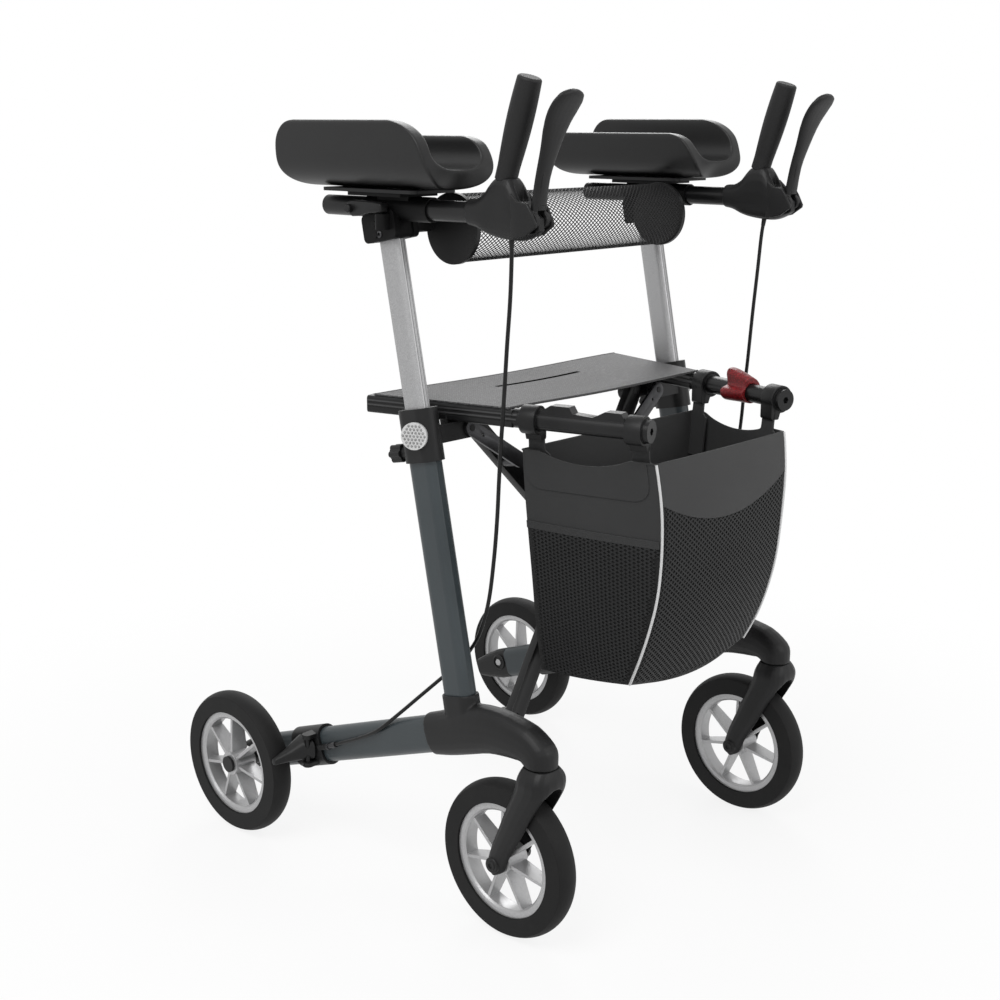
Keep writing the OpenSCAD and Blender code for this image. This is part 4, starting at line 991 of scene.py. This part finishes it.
# The front and side panels carry painted shade below their nets' edges
cloth_front_and_shade = woven("bag_front_cloth", *CLOTH, net_edge=front_edge)
cloth_side_and_shade = woven("bag_side_cloth", *CLOTH, net_edge=side_edge)
cloth_net = woven(
    "bag_net_cloth", (0.0125, 0.0127, 0.013), (0.022, 0.0223, 0.0226), 0.5, 0.55, 0.00004, 0.18, 0.1
)
panels = [
    patch(
        "front", lambda u, v: bag_front(u, between(front_low(u), BAG_TOP, v)), front_cut, BAG_ACROSS, BAG_UP
    ),
    side_panel(-1),
    side_panel(1),
    patch(
        "rear", lambda u, v: bag_rear(u, between(BAG_REAR_LOW, BAG_TOP, v)), front_cut, BAG_ACROSS, BAG_UP
    ),
    patch("bottom", bag_bottom, flat_cut, BAG_ACROSS, steps(0, 1, 24)),
]
for mesh, index in zip(panels, (0, 1, 1, 2, 2)):
    for face in mesh.polygons:
        face.material_index = index
bag = linked("bag_shell", join("bag_shell", panels, BAG_MERGE))
thicken(bag, BAG_CLOTH)
settle(bag, 38)
shell_slots = [face.material_index for face in bag.data.polygons]
dressed(bag, "bag_cloth", "left_rail", "bag", (cloth_front_and_shade, cloth_side_and_shade, cloth_plain))
for face, index in zip(bag.data.polygons, shell_slots):
    face.material_index = index
gathered(bag, *BAG_GATHER)


def on_bag(obj, finish):
    """Sews a piece on the bag."""
    gathered(dressed(obj, "bag_cloth", "left_rail", None, finish), *BAG_GATHER)


def sewn(name, mesh, way, thickness, finish=cloth_plain):
    """Sews a patch that looks along way on the bag."""
    obj = linked(name, outward(mesh, way))
    thicken(obj, thickness, 1.0)
    on_bag(settle(obj, 45), finish)


# The net of the bag's lower panels: a cloth with staggered diamond holes

NET_OUT, NET_THICK, NET_GAP, NET_REAR_GAP = 0.0005, 0.0008, 0.001, 0.0005
FRONT_NET_HALF, FRONT_NET_TOP, FRONT_NET_LAP = 0.13, 0.545, 0.005
SIDE_NET_TOP, SIDE_NET_LAP, SIDE_NET_SHARE = 0.5, 0.004, 1.06
# Width and height of a cell, and its hole's shares of them
SIDE_CELL, FRONT_CELL = (0.0105, 0.0048, 0.46, 0.8), (0.0084, 0.0066, 0.6, 0.66)


def net_mesh(name, left, right, low, high, inside, place, cell):
    """Diamond cells with a hole in each, kept where inside(a, z) holds."""
    wide, tall, hole_wide, hole_tall = cell
    found, points, cuts, faces = {}, [], [], []

    def point(key, a, z):
        if key not in found:
            found[key] = len(points)
            points.append(place(a, z))
            cuts.append((a, z))
        return found[key]

    ring = [(1, 0), (0, 1), (-1, 0), (0, -1)]
    for j in range(int(2 * (high - low) / tall) + 1):
        for i in range(int((right - left) / wide) + 1):
            ci, cj = 2 * i + j % 2, j
            a, z = left + ci * wide / 2, low + cj * tall / 2
            spots = [(a + x * wide / 2, z + y * tall / 2) for x, y in ring]
            if not all(inside(*spot) for spot in spots):
                continue
            outer = [point((ci + x, cj + y), *spot) for (x, y), spot in zip(ring, spots)]
            inner = [
                point((ci, cj, k), a + hole_wide * (b - a), z + hole_tall * (c - z))
                for k, (b, c) in enumerate(spots)
            ]
            faces += [(outer[k], outer[(k + 1) % 4], inner[(k + 1) % 4], inner[k]) for k in range(4)]
    return built(name, points, faces, cuts)


def in_front_net(x, z):
    half = bag_widths(z)[0]
    low, high = front_low(x / half) + NET_GAP, front_edge(x) + FRONT_NET_LAP
    return abs(x) < half - NET_GAP and low < z < high


def in_side_net(y, z):
    depth = bag_widths(z)[2]
    low, high = side_low((BAG_REAR - y) / depth) + NET_GAP, side_edge(y) + SIDE_NET_LAP
    return BAG_REAR - depth + NET_GAP < y < BAG_REAR - NET_REAR_GAP and low < z < high


front_net = net_mesh(
    "front_net", -FRONT_NET_HALF, FRONT_NET_HALF, BAG_LOW - BAG_SAG, FRONT_NET_TOP, in_front_net,
    lambda x, z: bag_front(x / bag_widths(z)[0], z, NET_OUT), FRONT_CELL
)
sewn("bag_front_net", front_net, (0, -1, 0), NET_THICK, cloth_net)
for side, s in SIDES:
    side_net = net_mesh(
        "side_net", BAG_REAR - SIDE_NET_SHARE * BAG_DEPTH, BAG_REAR, BAG_LOW, SIDE_NET_TOP, in_side_net,
        lambda y, z: bag_side(s, (BAG_REAR - y) / bag_widths(z)[2], z, NET_OUT), SIDE_CELL
    )
    sewn(f"{side}_bag_net", side_net, (s, 0, 0), NET_THICK, cloth_net)


# Smooth panels, flaps, tapes, bindings and piping sewn on the bag

SEWN_OUT, SEAM_SHARE = 0.0002, 0.985
PANEL_THICK, FLAP_THICK, TAPE_THICK = 0.0014, 0.0011, 0.0013
FLAP_DROP, FLAP_REAR, FLAP_FRONT, FLAP_ROUND = 0.046, 0.02, 0.93, 0.02
FLAP_ACROSS = steps(FLAP_REAR, DIP_FROM, 12) + steps(0.18, DIP_TO, 10) + steps(0.81, FLAP_FRONT, 12)
TAPE = 0.009
PIPING_R, PIPING_SIDE, PIPING_FRONT, PIPING_LOW = 0.0017, 0.0008, 0.001, 0.004
BINDING_R, BINDING_REAR, BINDING_FRONT = 0.0013, 0.03, 0.97


def front_panel(u, v):
    """The smooth upper front: v from its round lower edge to the top."""
    z = BAG_TOP
    for _ in range(3):
        z = between(front_edge(u * bag_widths(z)[0]), BAG_TOP, v)
    return bag_front(SEAM_SHARE * u, z, SEWN_OUT)


def flap_low(t):
    """The flap's lower edge, with round corners."""
    gap = min(t - FLAP_REAR, FLAP_FRONT - t) * BAG_DEPTH
    return BAG_TOP - FLAP_DROP + FLAP_ROUND * round_off(gap / FLAP_ROUND)


panel_mesh = patch("front_panel", front_panel, front_cut, steps(-1, 1, 40), steps(0, 1, 10))
sewn("bag_front_panel", panel_mesh, (0, -1, 0), PANEL_THICK)
for side, s in SIDES:
    flap = patch(
        "flap", lambda t, v: bag_side(s, t, between(flap_low(t), side_top(t), v), SEWN_OUT), side_cut,
        FLAP_ACROSS, steps(0, 1, 8)
    )
    sewn(f"{side}_bag_flap", flap, (s, 0, 0), FLAP_THICK)
    tape = patch(
        "tape", lambda t, v: bag_side(s, t, side_edge(BAG_REAR - t * BAG_DEPTH) + TAPE * v, SEWN_OUT),
        side_cut, steps(0, SEAM_SHARE, 24), (0, 1)
    )
    sewn(f"{side}_bag_tape", tape, (s, 0, 0), TAPE_THICK)
piping_silver = speckled(
    "piping_silver", 900, (0.5, 0.5, 0.5), (0.72, 0.72, 0.72), 0.4, specular_ior_level=0.5, metallic=0.3
)
for side, s in SIDES:
    off = Vector((s * PIPING_SIDE, -PIPING_FRONT, 0))
    seam = [bag_side(s, 1, between(BAG_FRONT_LOW, BAG_TOP, h)) + off for h in steps(PIPING_LOW, 1, 60)]
    on_bag(linked(f"{side}_bag_piping", tube("piping", seam, PIPING_R, 10)), piping_silver)
right_edge, left_edge = (
    [bag_side(s, t, side_top(t)) for t in steps(BINDING_REAR, BINDING_FRONT, 30)] for side, s in SIDES
)
rear_edge = [bag_rear(u, BAG_TOP) for u in steps(1, -1, 20)]
edge = rear_edge + right_edge + [bag_front(u, BAG_TOP) for u in steps(-1, 1, 30)] + left_edge[::-1]
on_bag(linked("bag_binding", tube("binding", edge + [bag_rear(1, BAG_TOP)], BINDING_R, 8)), cloth_plain)


# Tabs that carry the bag, each in a clamp on its rail's ring

CLAMP_R, CLAMP_BORE, CLAMP_LENGTH, CLAMP_EDGE, CLAMP_MERGE = 0.0174, 0.0143, 0.021, 0.0009, 0.00001
RING_SHARES = (0.569, 0.926)
RINGS = [RAIL_LENGTH * share + CLAMP_LENGTH / 2 for share in RING_SHARES]
# The two sides of the clamp's boss, from the rail's axis outwards, and its underside
BOSS_SIDES, BOSS_LOW = (-0.0165, -0.0025), -0.0255
TAB_IN, TAB_HALF, TAB_THICK, TAB_FLARE, TAB_LENGTH = 0.0095, 0.0105, 0.0024, 0.007, 0.084
TAB_TOP, TAB_FLARE_END, TAB_SLANT, TAB_WIDTH = -0.012, -0.043, 0.09, 0.03


def clamp_reach(a):
    """How far the clamp's outline is from the rail's axis, on the way a."""
    c, b = math.cos(a), math.sin(a)
    reach = CLAMP_R
    if b < 0:
        t = BOSS_LOW / b
        if BOSS_SIDES[0] <= t * c <= BOSS_SIDES[1]:
            reach = max(reach, t)
        for x in BOSS_SIDES:
            t = x / c if abs(c) > 1e-6 else 0
            if t > 0 and BOSS_LOW <= t * b <= 0:
                reach = max(reach, t)
    return reach


def clamp_mesh(at, along, out):
    """A clamp round a rail, with the boss that holds a tab."""
    def ring(reach, e):
        return [at + along * e + (out * math.cos(a) + UP * math.sin(a)) * reach(a) for a in turns(72)]

    def bore(a):
        return CLAMP_BORE

    half = CLAMP_LENGTH / 2
    ends = ((bore, -half), (clamp_reach, -half), (clamp_reach, half), (bore, half), (bore, -half))
    return grid("clamp", [ring(*end) for end in ends], wrap=True)


def tab_mesh(start, at, along, out):
    """A tab that hangs in a clamp and flares into the bag."""
    rows = []
    for z in steps(TAB_TOP, TAB_TOP - TAB_LENGTH, 16):
        half = TAB_HALF + TAB_FLARE * round_off((z - TAB_FLARE_END) / TAB_FLARE)
        middle = at - out * (TAB_IN - TAB_SLANT * z) + UP * z
        rows.append([middle + along * x for x in steps(-half, half, 4)])
    return grid("tab", rows, lambda p: ((p - start).dot(along), p.z - start.z))


for side, s in SIDES:
    start, along, out = rail_axes(s)
    places = [start + along * ring for ring in RINGS]
    clamps = join("clamps", [clamp_mesh(at, along, out) for at in places], CLAMP_MERGE)
    clamps = round_edges(linked(f"{side}_bag_clamps", clamps), CLAMP_EDGE, 3, 30)
    dressed(clamps, "black_plastic", f"{side}_rail")
    tabs = linked(f"{side}_bag_tabs", join("tabs", [tab_mesh(start, at, along, out) for at in places]))
    thicken(tabs, TAB_THICK, 0)
    dressed(settle(tabs, 45), "bag_cloth", f"{side}_rail", finish=cloth_plain)


# The back roll's net, laid round the front of its end discs, and the hems along its edges

ROLL_LOW, ROLL_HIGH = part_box("roll_net")
ROLL_INSET = 0.0006
ROLL_R = (ROLL_HIGH.z - ROLL_LOW.z) / 2 - ROLL_INSET
ROLL_Y, ROLL_Z = (ROLL_LOW.y + ROLL_HIGH.y) / 2, (ROLL_LOW.z + ROLL_HIGH.z) / 2
ROLL_WIDTH = ROLL_HIGH.x - ROLL_LOW.x
ROLL_ARC = [math.radians(a) * ROLL_R for a in (84, 270)]
ROLL_HEM_ARC = [math.radians(a) * ROLL_R for a in (78, 94)]
ROLL_CELL = (ROLL_WIDTH / 56, 0.0052, 0.8, 0.8)
ROLL_THICK, ROLL_LAP, ROLL_GATHER = 0.0009, 0.003, (-0.195, 0.382)
ROLL_HEM_OUT, ROLL_HEM_THICK, ROLL_CORD_R, ROLL_CORD_UP = 0.0004, 0.0008, 0.0009, 0.001
ROLL_ACROSS = steps(ROLL_LOW.x, ROLL_HIGH.x, 40)


def on_roll(x, arc, out=0.0):
    a = arc / ROLL_R
    return Vector((x, ROLL_Y + (ROLL_R + out) * math.cos(a), ROLL_Z + (ROLL_R + out) * math.sin(a)))


def in_roll_net(x, arc):
    return ROLL_LOW.x - 1e-6 < x < ROLL_HIGH.x + 1e-6 and ROLL_ARC[0] - ROLL_LAP < arc < ROLL_ARC[1]


net_knit = speckled(
    "roll_knit", 700, (0.008, 0.008, 0.0082), (0.022, 0.022, 0.0225), 0.55, specular_ior_level=0.3
)
roll = linked("back_roll_net", net_mesh(
    "roll", ROLL_LOW.x, ROLL_HIGH.x, *ROLL_ARC, in_roll_net, on_roll, ROLL_CELL
))
thicken(roll, ROLL_THICK)
dressed(settle(roll, 50), "net", "right_column", "roll_net", net_knit)
hem_rows = [[on_roll(x, arc, ROLL_HEM_OUT) for x in ROLL_ACROSS] for arc in steps(*ROLL_HEM_ARC, 8)]
hem = linked("back_roll_top_hem", outward(grid("hem", hem_rows, flat_cut), UP))
thicken(hem, ROLL_HEM_THICK)
cord_way = [on_roll(x, ROLL_ARC[1] - ROLL_CORD_UP, -ROLL_HEM_OUT) for x in ROLL_ACROSS]
roll_hems = [settle(hem, 50), linked("back_roll_low_hem", tube("hem", cord_way, ROLL_CORD_R, 8))]
for each in roll_hems:
    dressed(each, "net", "right_column", finish=cloth_plain)
for each in (roll, *roll_hems):
    gathered(each, *ROLL_GATHER)


# Copies of cast and moulded pieces worked smooth, and of bars and links with round edges

NODE_MERGE, FLAT_ANGLE = 0.00002, math.radians(2)


def copied(node, name, flat=False):
    """A copy of a node, with its loose triangles merged and, where flat, its flat faces whole."""
    whole = bmesh.new()
    whole.from_mesh(nodes[node].data)
    bmesh.ops.remove_doubles(whole, verts=whole.verts, dist=NODE_MERGE)
    if flat:
        bmesh.ops.dissolve_limit(whole, angle_limit=FLAT_ANGLE, verts=whole.verts, edges=whole.edges)
    mesh = bpy.data.meshes.new(name)
    whole.to_mesh(mesh)
    whole.free()
    return linked(name, mesh)


def smoothed(node, voxel, rounds):
    obj = copied(node, node + "_smooth")
    remesh = obj.modifiers.new("even", "REMESH")
    remesh.mode, remesh.voxel_size = "VOXEL", voxel
    soft = obj.modifiers.new("soft", "SMOOTH")
    soft.factor, soft.iterations = 0.5, rounds
    return dressed(settle(obj, 180), slot_of[node], body_of(node), node)


def bevelled(node, width, segments):
    obj = round_edges(copied(node, node + "_round", flat=True), width, segments)
    return dressed(obj, slot_of[node], body_of(node), node)


levers = {}
for side, s in SIDES:
    smoothed(f"{side}_front_casting", 0.0012, 12)
    smoothed(f"{side}_caster_fork", 0.0011, 6)
    smoothed(f"{side}_brake_housing", 0.0009, 10)
    levers[side] = smoothed(f"{side}_brake_lever", 0.0008, 8)
    smoothed(f"{side}_brake_shoe", 0.0009, 6)
    bevelled(f"{side}_cross_brace", 0.0034, 4)
    bevelled(f"{side}_fold_link", 0.0008, 3)


# Cheeks of the brake housings, on both sides of the lever's root, and a web in front of its slot

CHEEK = (
    (-0.238, 0.894), (-0.2474, 0.8858), (-0.262, 0.8841), (-0.2683, 0.8752), (-0.2752, 0.8625),
    (-0.2745, 0.8588), (-0.2601, 0.849), (-0.25, 0.8465), (-0.238, 0.846),
)
CHEEK_X, CHEEK_EDGE = (0.0123, 0.0164), 0.0016
LEVER_WEB = (
    (-0.2736, 0.917), (-0.2714, 0.9), (-0.2698, 0.888), (-0.2692, 0.876), (-0.2662, 0.876), (-0.2665, 0.9),
    (-0.268, 0.917),
)
WEB_HALF, WEB_EDGE = 0.0058, 0.0006
# The levers stand a little straighter than their solids: how far, from which height and over which
LEVER_LEAN, LEAN_LOW, LEAN_HEIGHT = 0.0045, 0.872, 0.125


def lever_lean(z):
    return LEVER_LEAN * math.sin(math.pi * held((z - LEAN_LOW) / LEAN_HEIGHT))


for side, s in SIDES:
    middle = s * COLUMN_X
    plates = [plate("cheek", CHEEK, middle + e * CHEEK_X[0], middle + e * CHEEK_X[1]) for e in (-1, 1)]
    cheeks = round_edges(linked(f"{side}_lever_cheeks", join("cheeks", plates)), CHEEK_EDGE, 3)
    dressed(cheeks, "black_plastic", f"{side}_handle")
    web = join("web", [plate("web", LEVER_WEB, middle - WEB_HALF, middle + WEB_HALF)])
    web = round_edges(linked(f"{side}_lever_web", web), WEB_EDGE, 2)
    dressed(web, "black_plastic", body_of(f"{side}_brake_lever"))
    for mesh in (web.data, levers[side].data):
        for vertex in mesh.vertices:
            vertex.co.y -= lever_lean(vertex.co.z)


# Turned ends of the forks, screws of the top blocks and nuts of the rear ends

FORK_END = (
    (-0.0055, 0.0099), (-0.0006, 0.0099), (0.0006, 0.0089), (0.0006, 0.0062), (0.0016, 0.0058),
    (0.0016, 0.0034), (-0.0012, 0.0031),
)
SCREW_HEAD = ((-0.003, 0.0042), (0.0012, 0.0042), (0.0018, 0.0035), (0.0018, 0.0022), (-0.0006, 0.002))
NUT_HEAD = ((-0.003, 0.0058), (0.0028, 0.0058), (0.0034, 0.005))
NUT_CUP = ((-0.003, 0.0125), (0.0016, 0.0125), (0.0024, 0.0117), (0.0024, 0.0098), (0.0006, 0.0094))
FORK_END_OUT, FORK_END_Y, FORK_END_Z = 0.0305, -0.2225, 0.1
SCREW_X, SCREW_Y, SCREW_HEIGHTS = 0.2645, -0.032, (0.8517, 0.84)
NUT_X, NUT_Y, NUT_Z = 0.2335, 0.2445, 0.1063
for side, s in SIDES:
    ends = [
        turned("end", (s * COLUMN_X + e * FORK_END_OUT, FORK_END_Y, FORK_END_Z), e, FORK_END) for e in (-1, 1)
    ]
    dressed(linked(f"{side}_fork_ends", join("ends", ends)), "cast_black", body_of(f"{side}_caster_fork"))
    screws = [turned("screw", (s * SCREW_X, SCREW_Y, z), s, SCREW_HEAD) for z in SCREW_HEIGHTS]
    dressed(linked(f"{side}_block_screws", join("screws", screws)), "steel", f"{side}_column")
    nut_at = (s * NUT_X, NUT_Y, NUT_Z)
    nut = linked(f"{side}_rear_nut", join("nut", [turned("nut", nut_at, -s, NUT_HEAD, 6)]))
    dressed(nut, "steel", f"{side}_frame", finish=FINISHES["silver"])
    cup = linked(f"{side}_rear_nut_cup", join("cup", [turned("cup", nut_at, -s, NUT_CUP)]))
    dressed(cup, "black_plastic", f"{side}_frame")


# Quick clamp levers, with a thick free end and its button

CLAMP_LEVER = (
    (0.0105, 0.8705), (0.008, 0.8775), (0, 0.879), (-0.03, 0.8786), (-0.042, 0.8776), (-0.0505, 0.8765),
    (-0.0505, 0.8665), (-0.042, 0.8656), (-0.03, 0.8652), (-0.012, 0.861), (0, 0.8602), (0.0075, 0.8635),
)
LEVER_IN, LEVER_OUT, LEVER_EDGE = 0.2668, 0.28, 0.0026
BUTTON = ((-0.004, 0.005), (0.0042, 0.005), (0.0052, 0.0042))
BUTTON_Y, BUTTON_Z = 0.0025, 0.8695
for side, s in SIDES:
    body = body_of(f"{side}_clamp_lever")
    lever = join("lever", [plate("lever", CLAMP_LEVER, s * LEVER_IN, s * LEVER_OUT)])
    lever = round_edges(linked(f"{side}_quick_lever", lever), LEVER_EDGE, 4, 40)
    dressed(lever, "black_plastic", body, f"{side}_clamp_lever")
    button = turned("button", (s * LEVER_OUT, BUTTON_Y, BUTTON_Z), s, BUTTON)
    dressed(linked(f"{side}_quick_button", button), "black_plastic", body)


# Fold lock: a ring on the left rail, with a thumb hollow between two horns that fall off to the front

LOCK_AT, LOCK_HALF, LOCK_BORE, LOCK_WALL, LOCK_EDGE, LOCK_MERGE = 0.3, 0.0175, 0.0121, 0.0014, 0.0018, 0.00001
LOCK_R = LOCK_BORE + LOCK_WALL
# The share of the horns that is lost at the front, and the power of the curve
LOCK_FALL, LOCK_POWER = 0.6, 1.4
# Pairs of degrees from the rail's inner side upwards and the radius there
LOCK_FORM = (
    (-90, 0.0135), (-60, 0.0155), (-35, 0.02), (-15, 0.0236), (0, 0.0245), (10, 0.0225), (20, 0.0178),
    (30, 0.0153), (40, 0.0157), (50, 0.0203), (58, 0.0265), (66, 0.03), (76, 0.0305), (90, 0.0288),
    (115, 0.0248), (140, 0.0205), (160, 0.0165), (180, 0.0145), (225, 0.0136), (270, 0.0135),
)


def lock_row(t, radii):
    """A ring of the lock at a share t of the way from its rear to its front."""
    start, along, out = rail_axes(1)
    axis = start + along * (LOCK_AT + LOCK_HALF * (2 * t - 1))
    return [axis + r * (UP * math.sin(a) - out * math.cos(a)) for a, r in zip(form_turns, radii)]


form = spline([(turn, radius, 0) for turn, radius in LOCK_FORM], 4)[:-1]
form_turns = [math.radians(p.x) for p in form]
bore_rear, bore_front = (lock_row(t, [LOCK_BORE] * len(form)) for t in (0, 1))
lock_rows = []
for t in steps(0, 1, 6):
    stays = 1 - LOCK_FALL * t ** LOCK_POWER
    lock_rows.append(lock_row(t, [LOCK_R + (p.y - LOCK_R) * stays for p in form]))
lock = grid("lock", [bore_rear, *lock_rows, bore_front, bore_rear], wrap=True)
lock = round_edges(linked("fold_lock_saddle", join("lock", [lock], LOCK_MERGE)), LOCK_EDGE, 3)
dressed(lock, "red", "lock", "fold_lock")


# Reflectors: domes in staggered rows on the round face, which looks forward and outward

REFLECTOR_LEAN, REFLECTOR_TURN = math.radians(11.3), math.radians(25)
REFLECTOR_Y, REFLECTOR_Z, REFLECTOR_OUT, REFLECTOR_R = -0.0791, 0.6048, 0.025, 0.0152
DOME_PITCH, DOME_ROW, DOME_WIDTH = 0.0046, 0.004, 0.0031
domes = prism("reflector_domes", (0.27, 0.27, 0.27), (0.22, 0.22, 0.22))
prisms = dot_shaper("reflector_prisms", domes)
for side, s in SIDES:
    front = Vector((0, -math.cos(REFLECTOR_LEAN), math.sin(REFLECTOR_LEAN)))
    face = Vector((s * math.cos(REFLECTOR_TURN), 0, 0)) + front * math.sin(REFLECTOR_TURN)
    middle = Vector((s * COLUMN_X, REFLECTOR_Y, REFLECTOR_Z)) + REFLECTOR_OUT * face
    up = (UP - face * face.z).normalized()
    across = up.cross(face)
    spots = [((i + 0.5 * (j % 2)) * DOME_PITCH, j * DOME_ROW) for j in range(-8, 9) for i in range(-8, 9)]
    points = [middle + across * a + up * b for a, b in spots if math.hypot(a, b) < REFLECTOR_R]
    dots = prisms.on(linked(f"{side}_reflector_prisms", built("prisms", points, [])), Width=DOME_WIDTH)
    dressed(dots, "reflector", f"{side}_frame", finish=domes)


# Lights, floor and world

AIM = Vector((0, 0, 0.5))
# Place, size and power
LAMPS = {
    "key": ((-2.2, -0.6, 3.2), 2.2, 62),
    "fill": ((0.8, -3.4, 2.0), 2.4, 30),
    "rim": ((2.6, 2.2, 2.6), 2.0, 40),
}
FLOOR_REACH, FLOOR_DROP = 9.0, 0.0006


def seen(graph):
    """1 for what the camera sees, straight or in a reflection."""
    path = graph.add("ShaderNodeLightPath", out="Is Camera Ray")
    return path + path.out("Is Glossy Ray") + path.out("Is Transmission Ray")


for name, (at, size, power) in LAMPS.items():
    light = bpy.data.lights.new(name, "AREA")
    light.shape, light.size, light.energy = "DISK", size, power
    lamp = linked(name, light)
    lamp.location = at
    lamp.rotation_euler = (AIM - Vector(at)).to_track_quat("-Z", "Y").to_euler()

world = bpy.data.worlds.new("studio")
world.use_nodes = True
scene.world = world
sky = Graph(world.node_tree)
backdrop = world.node_tree.nodes["Background"]
sky.feed(backdrop.inputs["Color"], (1, 1, 1))
sky.feed(backdrop.inputs["Strength"], 0.5 + 0.5 * seen(sky))

corners = [(FLOOR_REACH * x, FLOOR_REACH * y, 0) for x, y in ((-1, -1), (1, -1), (1, 1), (-1, 1))]
floor = linked("floor", built("floor", corners, [(0, 1, 2, 3)]))
floor.location.z = -FLOOR_DROP
paper = Finish("floor_paper", roughness=0.9, specular_ior_level=0.1)
paper.coat(paper.mix(paper.noise(3, 2), (0.86, 0.86, 0.86), (0.9, 0.9, 0.9)))
glow = paper.add("ShaderNodeEmission", None, {"Color": (1, 1, 1), "Strength": 1.0})
away = paper.add("ShaderNodeVectorMath", {"operation": "LENGTH"}, {0: paper.place}, out="Value")
seen_floor = seen(paper)
share = seen_floor.math("MINIMUM", seen_floor, 1.0) * (0.86 + 0.14 * away.rise(0.45, 1.3))
lit = Field(paper, paper.shader.outputs[0])
surface = paper.add("ShaderNodeMixShader", None, {0: share, 1: lit, 2: glow})
paper.feed(paper.tree.nodes["Material Output"].inputs["Surface"], surface)
floor.data.materials.append(paper.material)
